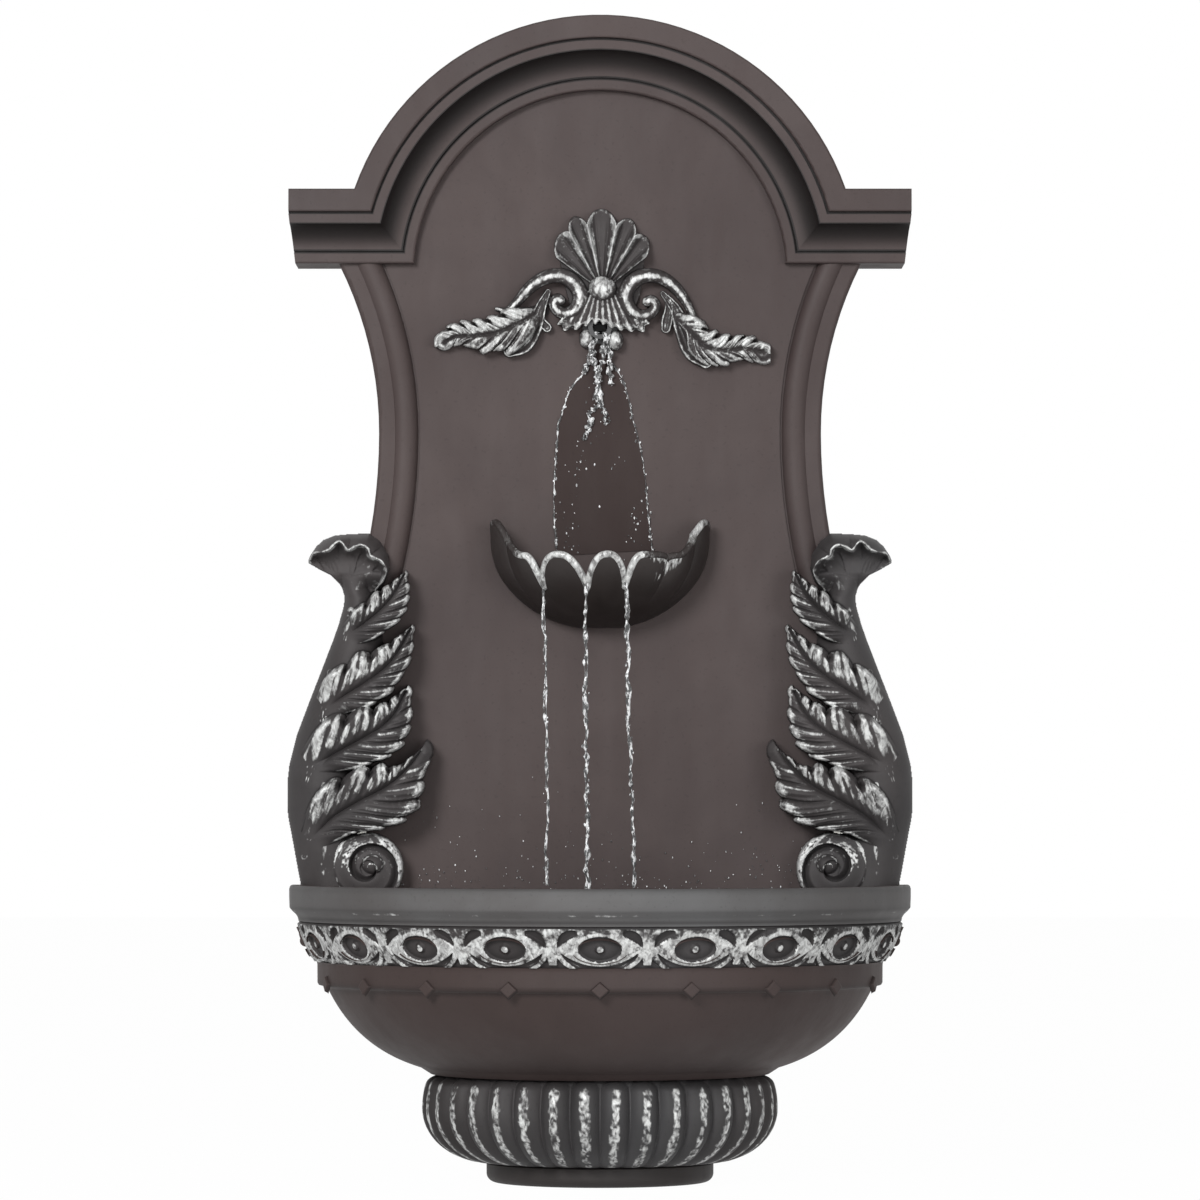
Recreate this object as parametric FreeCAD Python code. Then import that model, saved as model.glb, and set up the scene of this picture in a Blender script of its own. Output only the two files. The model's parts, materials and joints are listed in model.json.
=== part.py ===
"""Garden wall fountain with a scallop bowl, scroll brackets and a half-round basin.

Millimetres, +Z up. The wall is the plane Y = 0 and the fountain looks towards -Y, so a
depth is a distance in front of the wall. The origin is on the wall, in the middle of the
foot's underside.
"""
import FreeCAD, Part
import math
import os

V = FreeCAD.Vector

# Overall size and fits
FOUNTAIN_HEIGHT = 787.0
CASTING_JOINT = 0.3        # bedding gap between two castings
SLIP_FIT = 0.05            # radial play of a pin or tube in its hole
REACH = 400.0              # longer than any cut that has to pass right through

# Foot and gadrooned pendant
FOOT_HEIGHT = 13.5
FOOT_RADIUS = 77.0
FOOT_ROUNDING = 6.0
PENDANT_HEIGHT = 59.7
PENDANT_RADIUS = 120.8
PENDANT_NECK_RADIUS = 113.0
PENDANT_BELLY_RISE = 36.5
PENDANT_WALL = 20.0
PENDANT_FLOOR = 12.0
GADROON_COUNT = 18
GADROON_DEPTH = 5.0
SPIGOT_RADIUS = 84.0
FOOT_SPIGOT_RADIUS = 54.0
SPIGOT_HEIGHT = 5.0

# Basin
BASIN_HEIGHT = 127.8
BASIN_WALL = 10.0
BASIN_FLOOR = 19.0
BASIN_NECK_RADIUS = 115.0
NECK_HEIGHT = 4.5
BOWL_TOP_RADIUS = 185.6
BOWL_SWELL = 9.6
MOULDING_RADIUS = 191.7
MOULDING_HEIGHT = 16.5
FRIEZE_HEIGHT = 27.2
FRIEZE_FLARE = 12.6
FRIEZE_SWELL = 1.2
THROAT_HEIGHT = 6.3
RIM_RADIUS = 211.0
RIM_HEIGHT = 18.0
RIM_WALL = 12.0
RIM_CHAMFER = 5.0
RIM_ROUNDING = 2.5
BACK_WALL = 10.0
LEDGE_DROP = 15.0
LEDGE_THICKNESS = 8.0

# Oval eyes round the frieze
EYE_PITCH_DEG = 18.0
EYE_LENGTH = 38.0
EYE_HEIGHT = 22.0
EYE_BAND = 4.5
EYE_RELIEF = 2.5
EYE_BEAD_RADIUS = 4.0

# Back panel
PANEL_FIELD_DEPTH = 34.0
PANEL_WALL = 7.0
PANEL_LIP = 16.0
WAIST_INSET = 61.7          # and the waist is this much narrower than the rim
WAIST_RISE = 320.0
UPPER_SWEEP_RADIUS = 255.0
LOWER_SWEEP_RADIUS = 391.0
HIP_INSET = 4.7            # the flanks stand this far inside the rim
HIP_RISE = 72.0
BORDER_WIDTH = 28.0
BORDER_FLAT = 11.0
BORDER_RAISE = 2.5
ROLL_RAISE = 6.0
BORDER_GROOVE = 1.5
BORDER_LENGTH = 221.0

# Cornice, from its outer edge inwards
ARCH_RADIUS = 175.0
SHOULDER_RISE = 57.5
SHOULDER_INSET = 1.4       # so do the shoulders
FASCIA_WIDTH = 15.5
FILLET_WIDTH = 6.5
COVE_WIDTH = 17.0
INNER_WIDTH = 7.0
LINE_WIDTH = 1.5
LINE_DEPTH = 2.0
FASCIA_DEPTH = 58.0
FILLET_SETBACK = 1.5
COVE_DROP = 16.0
INNER_RAISE = 1.5
CORNICE_ROUNDING = 1.5
SHOULDER_DRAFT = 4.0

# Crest ornament over the spout
SPOUT_DROP = 35.0
CREST_RELIEF = 13.0
FAN_RISE = 33.0
FAN_LENGTH = 46.0
FAN_FLUTES = 8
FAN_HALF_DEG = 72.0
FAN_SCALLOP = 3.0          # how far each flute's end bulges past the fan's circle
BOSS_RADIUS = 9.0
BOSS_RISE = 26.5
CREST_VOLUTE_RADIUS = 17.0
CREST_VOLUTE_SPREAD = 31.0
CREST_VOLUTE_RISE = 18.0
CREST_VOLUTE_TURNS = 1.5
WING_LENGTH = 80.0
WING_WIDTH = 32.0
WING_LEAN_DEG = -18.0
WING_LOBES = 4
APRON_HALF = 28.0
APRON_HEIGHT = 28.0
APRON_FLUTES = 7
BEAD_RADIUS = 6.7
BEAD_SPREAD = 9.3
BEAD_DROP = 8.5

# Scallop bowl
BOWL_DROP = 203.0
SHELL_RADIUS = 73.0
SHELL_WALL = 6.0
SHELL_PITCH_DEG = 23.25
SHELL_TURN_DEG = -8.7      # the middle one of the three pouring notches
SHELL_FLUTE = 5.0
SHELL_LIP_RISE = 49.0
SHELL_EAR_RISE = 25.0
SHELL_NOTCH = 22.0
SHELL_ROOT_RADIUS = 10.0
SHELL_FLOOR = 16.0
SHELL_BACK_RISE = 24.0     # the low wall that holds the water off the panel

# Scroll brackets
BRACKET_OVERHANG = 4.0
BRACKET_RELIEF = 28.0
BRACKET_TOP_RISE = 250.0
SPINE_HALF = 14.0
SPINE_SWELL = 16.0
SPINE_RELIEF = 18.0
LEAF_LENGTH = 99.0         # the lowest leaf; each one above it is smaller
LEAF_LENGTH_STEP = 10.0
LEAF_WIDTH = 40.0
LEAF_WIDTH_STEP = 4.0
LEAF_LEAN_DEG = 38.0
LEAF_LEAN_STEP_DEG = 4.0
LEAF_RISE = 105.3
LEAF_PITCH = 40.2
LEAF_TIP_INSET = 33.0
LEAF_TIP_STEP = 3.6
LEAF_RELIEF = 26.0
LEAF_COUNT = 4
LEAF_LOBES = 4
VOLUTE_RADIUS = 28.0
VOLUTE_RISE = 28.7
VOLUTE_INSET = 56.0        # from the rim's radius in to the volute's centre
VOLUTE_TURNS = 1.6
CURL_HEIGHT = 40.0
CURL_NECK = 14.0
CURL_FLARE = 11.0
CURL_RELIEF = 16.0
CURL_HOLLOW_RADIUS = 16.0

# Steel hangers in the back of the shoulders
HANGER_INSET = 34.6        # from a shoulder's end to its keyhole
HANGER_WIDTH = 20.0
HANGER_HEIGHT = 38.0
HANGER_GAUGE = 1.5
KEYHOLE_RADIUS = 5.5
KEYHOLE_SLOT = 5.2
KEYHOLE_SLOT_LENGTH = 12.0
KEYHOLE_RELIEF = 14.0
HANGER_SCREW_SPACING = 30.0
HANGER_SCREW_LENGTH = 14.0

# Bolts and screws
BOLT_RADIUS = 3.0
BOLT_HEAD_FLATS = 10.0
BOLT_HEAD = 4.0
WASHER_RADIUS = 7.0
WASHER = 1.2
SCREW_RADIUS = 1.8
SCREW_HEAD_RADIUS = 3.6
SCREW_HEAD = 2.2
BRACKET_BOLT_GRIP = 14.0
BOWL_BOLT_GRIP = 9.0
BOWL_BOLT_SPACING = 24.0
CREST_SCREW_GRIP = 8.0
BASIN_BOLT_SPACING = 240.0
BASIN_BOLT_GRIP = 11.0

# Water way
TUBE_RADIUS = 6.0
TUBE_BORE = 4.5
TUBE_DEPTH = 14.0
TUBE_ENTRY_DROP = 12.0     # grommet's centre below the ledge's underside
TUBE_RISER_BEND = 19.0
TUBE_NOTCH_GAP = 4.0
GROMMET_RADIUS = 9.0
GROMMET_LIP = 1.5
SPIGOT_LENGTH = 12.0       # length of tube pushed over each spigot
SPOUT_RADIUS = 8.0
SPOUT_BORE = 5.0
SPOUT_REACH = 12.0
SPOUT_FLANGE_RADIUS = 11.5
SPOUT_FLANGE = 3.0
LOCKNUT_FLATS = 21.0
LOCKNUT = 4.0
CLIP_WIDTH = 8.0
CLIP_WALL = 2.0
CLIP_TAB = 12.0
CLIP_TAB_THICKNESS = 3.0
CLIP_SPACING = 170.0
CLIP_SCREW_GRIP = 4.0

# Submersible pump
PUMP_DEPTH = 84.0
PUMP_LENGTH = 51.0
PUMP_WIDTH = 42.0
PUMP_HEIGHT = 36.0
PUMP_ROUNDING = 4.0
CHAMBER_RADIUS = 13.0
CHAMBER_LENGTH = 12.0
PUMP_SPIGOT_LENGTH = 4.0
PUMP_SPIGOT_STEP = 2.5
COVER_RADIUS = 15.5
COVER_THICKNESS = 3.0
INLET_RADIUS = 9.0
ROTOR_WELL_RADIUS = 8.0
MAGNET_RADIUS = 7.2
MAGNET_LENGTH = 24.0
SHAFT_RADIUS = 1.2
BUSH_RADIUS = 3.0
BUSH_LENGTH = 3.0
BUSH_HUB_WALL = 1.5
IMPELLER_RADIUS = 11.5
IMPELLER_HUB_RADIUS = 3.4
IMPELLER_DISC = 1.5
IMPELLER_BLADES = 6
BLADE_THICKNESS = 1.2
RUNNING_GAP = 0.5
STRAINER_LENGTH = 18.0
STRAINER_WALL = 1.8
STRAINER_SLOT = 1.8
STRAINER_SLOT_PITCH = 4.5
DIAL_RADIUS = 9.0
DIAL_THICKNESS = 2.5
DIAL_STUB_RADIUS = 3.0
SUCTION_FOOT_RADIUS = 7.0
SUCTION_FOOT_HEIGHT = 6.0
SUCTION_STEM_RADIUS = 2.5
SUCTION_STEM = 3.0
SUCTION_SPREAD_X = 32.0
SUCTION_SPREAD_Y = 26.0
GLAND_RADIUS = 6.0
GLAND_LENGTH = 14.0
GLAND_BORE = 3.1
GLAND_STUB_RADIUS = 5.0
GLAND_STUB = 4.0

# Levels worked out from the sizes above
PENDANT_FOOT_Z = FOOT_HEIGHT
BASIN_FOOT_Z = PENDANT_FOOT_Z + PENDANT_HEIGHT
RIM_TOP_Z = BASIN_FOOT_Z + BASIN_HEIGHT
RIM_FOOT_Z = RIM_TOP_Z - RIM_HEIGHT
FRIEZE_TOP_Z = RIM_FOOT_Z - THROAT_HEIGHT
FRIEZE_FOOT_Z = FRIEZE_TOP_Z - FRIEZE_HEIGHT
MOULDING_FOOT_Z = FRIEZE_FOOT_Z - MOULDING_HEIGHT
BASIN_FLOOR_Z = BASIN_FOOT_Z + BASIN_FLOOR
LEDGE_Z = RIM_TOP_Z - LEDGE_DROP
LEDGE_FOOT_Z = LEDGE_Z - LEDGE_THICKNESS
ARCH_CENTRE_Z = FOUNTAIN_HEIGHT - ARCH_RADIUS
SHOULDER_TOP_Z = ARCH_CENTRE_Z + SHOULDER_RISE
CORNICE_WIDTH = FASCIA_WIDTH + FILLET_WIDTH + COVE_WIDTH + INNER_WIDTH + 2 * LINE_WIDTH
SHOULDER_FOOT_Z = SHOULDER_TOP_Z - CORNICE_WIDTH
SPOUT_Z = ARCH_CENTRE_Z - SPOUT_DROP
SHELL_FOOT_Z = SPOUT_Z - BOWL_DROP
WAIST_Z = LEDGE_Z + WAIST_RISE
HIP_Z = LEDGE_Z + HIP_RISE
BORDER_FOOT_Z = SHOULDER_FOOT_Z - BORDER_LENGTH
WAIST_HALF = RIM_RADIUS - WAIST_INSET
VOLUTE_HALF_SPREAD = RIM_RADIUS - VOLUTE_INSET
HIP_HALF = RIM_RADIUS - HIP_INSET
SHOULDER_HALF = RIM_RADIUS - SHOULDER_INSET
HANGER_SPACING = 2 * (SHOULDER_HALF - HANGER_INSET)
FRIEZE_TOP_RADIUS = RIM_RADIUS - 6.4
FRIEZE_FOOT_RADIUS = FRIEZE_TOP_RADIUS - FRIEZE_FLARE
RECESS_DEPTH = PANEL_FIELD_DEPTH
BACK_WALL_DEPTH = RECESS_DEPTH + BACK_WALL
HOLLOW_DEPTH = PANEL_FIELD_DEPTH - PANEL_WALL
ORNAMENT_BACK = PANEL_FIELD_DEPTH + CASTING_JOINT
HANGER_Z = 0.5 * (SHOULDER_TOP_Z + SHOULDER_FOOT_Z)
BOLT_HOLE = BOLT_RADIUS + SLIP_FIT
SCREW_HOLE = SCREW_RADIUS + SLIP_FIT
TUBE_ENTRY_Z = LEDGE_FOOT_Z - TUBE_ENTRY_DROP
PUMP_FOOT_Z = BASIN_FLOOR_Z + SUCTION_FOOT_HEIGHT
PUMP_TOP_Z = PUMP_FOOT_Z + PUMP_HEIGHT
ROTOR_Z = PUMP_FOOT_Z + 0.5 * PUMP_HEIGHT

# The hip's arc touches the lower sweep: its radius follows from where the two must meet
_reach_x = WAIST_HALF + LOWER_SWEEP_RADIUS - HIP_HALF
_reach_z = WAIST_Z - HIP_Z
HIP_RADIUS = (_reach_x ** 2 + _reach_z ** 2 - LOWER_SWEEP_RADIUS ** 2) / (2 * (HIP_HALF - WAIST_HALF))


def front(x, depth, z):
    return V(x, -depth, z)


def line(a, b):
    return Part.makeLine(a, b)


def arc(a, b, c):
    return Part.Arc(a, b, c).toShape()


def bow(a, b, rise):
    """An arc from a to b in the XZ plane that stands `rise` off its chord, to the right."""
    chord = b - a
    right = V(chord.z, 0, -chord.x).normalize()
    return arc(a, (a + b) * 0.5 + right * rise, b)


def face(edges):
    return Part.Face(Part.Wire(edges))


def polygon(points):
    return Part.Face(Part.makePolygon(points + [points[0]]))


def half_turn(profile):
    """Revolve a face of the XZ plane round Z through the half in front of the wall."""
    return profile.revolve(V(0, 0, 0), V(0, 0, -1), 180)


def forward(shape, depth):
    return shape.extrude(V(0, -depth, 0))


def box(x0, x1, depth0, depth1, z0, z1):
    return Part.makeBox(x1 - x0, depth1 - depth0, z1 - z0, front(x0, depth1, z0))


def rod_y(radius, x, z, depth0, depth1):
    return Part.makeCylinder(radius, depth1 - depth0, front(x, depth0, z), V(0, -1, 0))


def rod_x(radius, x0, x1, depth, z):
    return Part.makeCylinder(radius, x1 - x0, front(x0, depth, z), V(1, 0, 0))


def rod_z(radius, x, depth, z0, z1):
    return Part.makeCylinder(radius, z1 - z0, front(x, depth, z0), V(0, 0, 1))


def cone_y(radius0, radius1, length, x, z):
    """A cone that starts on the wall plane and points forward."""
    return Part.makeCone(radius0, radius1, length, front(x, 0, z), V(0, -1, 0))


def joined(shapes):
    """Fuse the shapes one after the other into one solid."""
    whole = shapes[0]
    for shape in shapes[1:]:
        whole = whole.fuse(shape)
    return whole


def mirrored(shape):
    return shape.mirror(V(0, 0, 0), V(1, 0, 0))


def both_sides(shape):
    return [shape, mirrored(shape)]


def hexagon(flats, x, z, depth0, depth1):
    corner = flats / math.sqrt(3)
    points = []
    for side in range(6):
        turn = math.radians(60 * side)
        points.append(front(x + corner * math.cos(turn), depth0, z + corner * math.sin(turn)))
    return forward(polygon(points), depth1 - depth0)


def oval_ring(centre, across, up):
    """A closed smooth curve round `centre` with the two half axes given as vectors."""
    points = []
    for step in range(12):
        turn = math.radians(30 * step)
        points.append(centre + across * math.cos(turn) + up * math.sin(turn))
    curve = Part.BSplineCurve()
    curve.interpolate(points, PeriodicFlag=True)
    return Part.Wire(curve.toShape())


def oval_face(centre, across, up):
    """A flat ellipse; `across` is its longer half axis."""
    ellipse = Part.Ellipse(centre + across, centre + up, centre)
    return Part.Face(Part.Wire(ellipse.toShape()))


def horn(stations):
    """A solid lofted through ovals: each station is a centre and its two half axes."""
    return Part.makeLoft([oval_ring(*station) for station in stations], True)


def in_front_of(shape, depth):
    return shape.common(box(-REACH, REACH, depth, REACH, -REACH, 3 * REACH))


# The panel's outline

def flank_x(z, outset):
    """Half width of the panel at height z, on a curve `outset` outside the real flank."""
    if z >= WAIST_Z:
        radius = UPPER_SWEEP_RADIUS - outset
        return WAIST_HALF + UPPER_SWEEP_RADIUS - math.sqrt(radius ** 2 - (z - WAIST_Z) ** 2)
    if z >= hip_start_z(outset):
        radius = LOWER_SWEEP_RADIUS - outset
        return WAIST_HALF + LOWER_SWEEP_RADIUS - math.sqrt(radius ** 2 - (z - WAIST_Z) ** 2)
    radius = HIP_RADIUS + outset
    return HIP_HALF - HIP_RADIUS + math.sqrt(radius ** 2 - (z - HIP_Z) ** 2)


def hip_start_z(outset):
    share = (LOWER_SWEEP_RADIUS - outset) / (LOWER_SWEEP_RADIUS + HIP_RADIUS)
    return WAIST_Z + (HIP_Z - WAIST_Z) * share


def flank_edges(z0, z1, outset, side):
    """The flank's tangent arcs from z0 up to z1, on the side +1 or -1."""
    stops = [z0]
    stops += [z for z in (hip_start_z(outset), WAIST_Z) if z0 < z < z1]
    stops.append(z1)
    edges = []
    for low, high in zip(stops, stops[1:]):
        heights = (low, 0.5 * (low + high), high)
        edges.append(arc(*[front(side * flank_x(z, outset), 0, z) for z in heights]))
    return edges


def panel_plate(z0, z1, outset, depth):
    right = flank_edges(z0, z1, outset, 1)
    left = flank_edges(z0, z1, outset, -1)
    half0 = flank_x(z0, outset)
    half1 = flank_x(z1, outset)
    top = line(front(half1, 0, z1), front(-half1, 0, z1))
    bottom = line(front(half0, 0, z0), front(-half0, 0, z0))
    wire = Part.Wire(Part.__sortEdges__(right + [top] + left + [bottom]))
    return forward(Part.Face(wire), depth)


# Cornice

def cornice_profile(place):
    """The cornice's section; place(u, depth) sets a point u inside the outer edge."""
    fillet_depth = FASCIA_DEPTH - FILLET_SETBACK
    cove_depth = fillet_depth - COVE_DROP
    inner_depth = cove_depth + INNER_RAISE
    r = CORNICE_ROUNDING
    bevel = r * (1 - math.sqrt(0.5))
    line1 = FASCIA_WIDTH
    fillet = line1 + LINE_WIDTH
    cove = fillet + FILLET_WIDTH
    line2 = cove + COVE_WIDTH
    inner = line2 + LINE_WIDTH
    end = CORNICE_WIDTH
    diagonal = math.sqrt(0.5)
    cove_middle = (line2 - COVE_WIDTH * diagonal, fillet_depth - COVE_DROP * diagonal)
    steps = [
        (0, 0),
        (0, FASCIA_DEPTH - r),
        ("arc", (bevel, FASCIA_DEPTH - bevel), (r, FASCIA_DEPTH)),
        (line1 - r, FASCIA_DEPTH),
        ("arc", (line1 - bevel, FASCIA_DEPTH - bevel), (line1, FASCIA_DEPTH - r)),
        (line1, fillet_depth - LINE_DEPTH),
        (fillet, fillet_depth - LINE_DEPTH),
        (fillet, fillet_depth),
        (cove, fillet_depth),
        ("arc", cove_middle, (line2, cove_depth)),
        (line2, cove_depth - LINE_DEPTH),
        (inner, cove_depth - LINE_DEPTH),
        (inner, inner_depth),
        (end - r, inner_depth),
        ("arc", (end - bevel, inner_depth - bevel), (end, inner_depth - r)),
        (end, 0),
    ]
    edges = []
    here = steps[0]
    for step in steps[1:]:
        if step[0] == "arc":
            edges.append(arc(place(*here), place(*step[1]), place(*step[2])))
            here = step[2]
        else:
            edges.append(line(place(*here), place(*step)))
            here = step
    edges.append(line(place(*here), place(*steps[0])))
    return face(edges)


def mitre_z(x):
    """Height of the mitre, where arch and shoulder are as far in from their outer edges."""
    k = ARCH_RADIUS - SHOULDER_RISE
    return ARCH_CENTRE_Z + (x ** 2 - k ** 2) / (2 * k)


def mitre_zone(above):
    """The space above the two mitres, or below the right one, as a prism."""
    x0 = ARCH_RADIUS - CORNICE_WIDTH - 14
    x1 = SHOULDER_HALF + 10
    xm = 0.5 * (x0 + x1)
    right = [front(x, 0, mitre_z(x)) for x in (x0, xm, x1)]
    if not above:
        low = SHOULDER_FOOT_Z - 20
        corner = [front(x1, 0, low), front(x0, 0, low)]
        edges = [arc(*right), line(right[2], corner[0]), line(*corner), line(corner[1], right[0])]
        return forward(face(edges), FASCIA_DEPTH + 1)
    left = [front(-x, 0, mitre_z(x)) for x in (x0, xm, x1)]
    top = FOUNTAIN_HEIGHT + 10
    corner = [front(x1, 0, top), front(-x1, 0, top)]
    edges = [arc(*right), line(right[2], corner[0]), line(*corner), line(corner[1], left[2]),
             arc(*left), line(left[0], right[0])]
    return forward(face(edges), FASCIA_DEPTH + 1)


def arch():
    profile = cornice_profile(lambda u, depth: front(ARCH_RADIUS - u, depth, ARCH_CENTRE_Z))
    ring = profile.revolve(front(0, 0, ARCH_CENTRE_Z), V(0, 1, 0), 360)
    return ring.common(mitre_zone(True))


def shoulder():
    start = ARCH_RADIUS - CORNICE_WIDTH - 14
    profile = cornice_profile(lambda u, depth: front(start, depth, SHOULDER_TOP_Z - u))
    bar = profile.extrude(V(SHOULDER_HALF - start, 0, 0)).common(mitre_zone(False))
    step_z = SHOULDER_TOP_Z - FASCIA_WIDTH - LINE_WIDTH
    draft = [
        front(SHOULDER_HALF + 1, 0, step_z),
        front(SHOULDER_HALF, 0, step_z),
        front(SHOULDER_HALF - SHOULDER_DRAFT, 0, SHOULDER_FOOT_Z - 1),
        front(SHOULDER_HALF + 1, 0, SHOULDER_FOOT_Z - 1),
    ]
    return bar.cut(forward(polygon(draft), FASCIA_DEPTH + 1))


# Back panel

def border(upper):
    """The rolled border of one flank, turned about the centre of that flank's sweep."""
    radius = UPPER_SWEEP_RADIUS if upper else LOWER_SWEEP_RADIUS
    base = PANEL_FIELD_DEPTH + BORDER_RAISE
    roll_end = BORDER_WIDTH - BORDER_GROOVE
    groove_depth = PANEL_FIELD_DEPTH - BORDER_GROOVE

    def at(u, depth):
        return front(WAIST_HALF - u, depth, WAIST_Z)

    edges = [
        line(at(0, 0), at(0, base - 3)),
        arc(at(0, base - 3), at(0.9, base - 0.9), at(3, base)),
        line(at(3, base), at(BORDER_FLAT, base)),
        arc(at(BORDER_FLAT, base), at(0.5 * (BORDER_FLAT + roll_end), PANEL_FIELD_DEPTH + ROLL_RAISE),
            at(roll_end, groove_depth)),
        line(at(roll_end, groove_depth), at(BORDER_WIDTH, groove_depth)),
        line(at(BORDER_WIDTH, groove_depth), at(BORDER_WIDTH, 0)),
        line(at(BORDER_WIDTH, 0), at(0, 0)),
    ]
    ring = face(edges).revolve(front(WAIST_HALF + radius, 0, WAIST_Z), V(0, 1, 0), 360)
    low = WAIST_Z if upper else BORDER_FOOT_Z
    high = SHOULDER_FOOT_Z + 2 if upper else WAIST_Z
    inner = WAIST_HALF - BORDER_WIDTH - 1
    return ring.common(box(inner, SHOULDER_HALF, -1, FASCIA_DEPTH, low, high))


def bracket_bolt_places():
    """Middle of each bracket bolt on the right side: x and z."""
    edge = PANEL_LIP + WASHER_RADIUS + 6
    high = LEDGE_Z + 196
    low = LEDGE_Z + 50
    return [(flank_x(high, 0) - edge, high), (flank_x(low, 0) - edge - 16, low)]


def crest_screw_places():
    return [(side * CREST_VOLUTE_SPREAD, SPOUT_Z + CREST_VOLUTE_RISE) for side in (-1, 1)]


def bowl_bolt_places():
    return [(side * 0.5 * BOWL_BOLT_SPACING, SHELL_FOOT_Z + 0.5 * SHELL_FLOOR) for side in (-1, 1)]


def clip_heights():
    middle = 0.5 * (LEDGE_Z + SPOUT_Z)
    return [middle - 0.5 * CLIP_SPACING, middle + 0.5 * CLIP_SPACING]


def back_panel():
    field_top = SHOULDER_FOOT_Z + 4
    foot = LEDGE_Z
    inner_radius = ARCH_RADIUS - CORNICE_WIDTH
    solids = [
        panel_plate(foot, field_top, -BORDER_WIDTH, PANEL_FIELD_DEPTH),
        panel_plate(foot, BORDER_FOOT_Z, 0, PANEL_FIELD_DEPTH),
        rod_y(inner_radius + 1, 0, ARCH_CENTRE_Z, 0, PANEL_FIELD_DEPTH),
        arch(),
    ]
    solids += both_sides(shoulder())
    solids += both_sides(border(True))
    solids += both_sides(border(False))
    panel = joined(solids)

    lower_hollow = panel_plate(foot + PANEL_LIP, ARCH_CENTRE_Z, -PANEL_LIP, HOLLOW_DEPTH)
    arch_hollow = rod_y(ARCH_RADIUS - PANEL_LIP, 0, ARCH_CENTRE_Z, 0, HOLLOW_DEPTH)
    arch_hollow = arch_hollow.common(box(-REACH, REACH, -1, REACH, ARCH_CENTRE_Z - 0.01, FOUNTAIN_HEIGHT))
    tools = [lower_hollow, arch_hollow]
    notch = TUBE_RADIUS + TUBE_NOTCH_GAP
    tools.append(box(-notch, notch, -1, TUBE_DEPTH + notch, foot - 1, foot + PANEL_LIP + 1))
    tools.append(rod_y(SPOUT_RADIUS + SLIP_FIT, 0, SPOUT_Z, 0, REACH))
    for x, z in bracket_bolt_places():
        tools += both_sides(rod_y(BOLT_HOLE, x, z, 0, REACH))
    for x, z in bowl_bolt_places():
        tools.append(rod_y(BOLT_HOLE, x, z, 0, REACH))
    for x, z in crest_screw_places():
        tools.append(rod_y(SCREW_HOLE, x, z, 0, REACH))
    for z in clip_heights():
        tools.append(rod_y(SCREW_HOLE, clip_screw_x(), z, 0, HOLLOW_DEPTH + CLIP_SCREW_GRIP + 0.5))
    for side in (-1, 1):
        bolt_x = side * 0.5 * BASIN_BOLT_SPACING
        tools.append(rod_z(BOLT_HOLE, bolt_x, basin_bolt_depth(), foot - 1, foot + BASIN_BOLT_GRIP + 1))
        tools += hanger_cuts(side * 0.5 * HANGER_SPACING)
    inside_rim = rod_z(RIM_RADIUS - RIM_WALL - CASTING_JOINT, 0, 0, foot - 2, RIM_TOP_Z + 1)
    tools.append(rod_z(REACH, 0, 0, foot - 1, RIM_TOP_Z + CASTING_JOINT).cut(inside_rim))
    return panel.cut(tools)


# Steel hangers

def hanger_cuts(x):
    """The pocket for one plate, the room for a screw head behind it and its screw holes."""
    half = 0.5 * HANGER_WIDTH + 0.2
    tall = 0.5 * HANGER_HEIGHT + 0.2
    hole_z = HANGER_Z - 4
    cuts = [
        box(x - half, x + half, -1, HANGER_GAUGE, HANGER_Z - tall, HANGER_Z + tall),
        box(x - KEYHOLE_RADIUS - 1, x + KEYHOLE_RADIUS + 1, -1, KEYHOLE_RELIEF,
            hole_z - KEYHOLE_RADIUS - 1, hole_z + KEYHOLE_SLOT_LENGTH + 4),
    ]
    for z in hanger_screw_heights():
        cuts.append(rod_y(SCREW_HOLE, x, z, 0, HANGER_SCREW_LENGTH + 1))
    return cuts


def hanger_screw_heights():
    return [HANGER_Z - 0.5 * HANGER_SCREW_SPACING, HANGER_Z + 0.5 * HANGER_SCREW_SPACING]


def hanger_plates():
    plates = []
    for side in (-1, 1):
        x = side * 0.5 * HANGER_SPACING
        plate = box(x - 0.5 * HANGER_WIDTH, x + 0.5 * HANGER_WIDTH, 0, HANGER_GAUGE,
                    HANGER_Z - 0.5 * HANGER_HEIGHT, HANGER_Z + 0.5 * HANGER_HEIGHT)
        corners = [e for e in plate.Edges if abs(e.tangentAt(e.FirstParameter).y) > 0.9]
        plate = plate.makeFillet(3, corners)
        hole_z = HANGER_Z - 4
        slot_top = hole_z + KEYHOLE_SLOT_LENGTH
        half = 0.5 * KEYHOLE_SLOT
        cuts = [
            rod_y(KEYHOLE_RADIUS, x, hole_z, -1, HANGER_GAUGE + 1),
            box(x - half, x + half, -1, HANGER_GAUGE + 1, hole_z, slot_top),
            rod_y(half, x, slot_top, -1, HANGER_GAUGE + 1),
        ]
        for z in hanger_screw_heights():
            cuts.append(rod_y(SCREW_HOLE, x, z, -1, HANGER_GAUGE + 1))
            cuts.append(cone_y(SCREW_HEAD_RADIUS, SCREW_RADIUS, HANGER_GAUGE, x, z))
        plates.append(plate.cut(cuts))
    return Part.makeCompound(plates)


def hanger_screws():
    screws = []
    for side in (-1, 1):
        x = side * 0.5 * HANGER_SPACING
        for z in hanger_screw_heights():
            head = cone_y(SCREW_HEAD_RADIUS - SLIP_FIT, SCREW_RADIUS, HANGER_GAUGE, x, z)
            screws.append(head.fuse(rod_y(SCREW_RADIUS, x, z, 0, HANGER_SCREW_LENGTH)))
    return Part.makeCompound(screws)


# Fixings from behind

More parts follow.
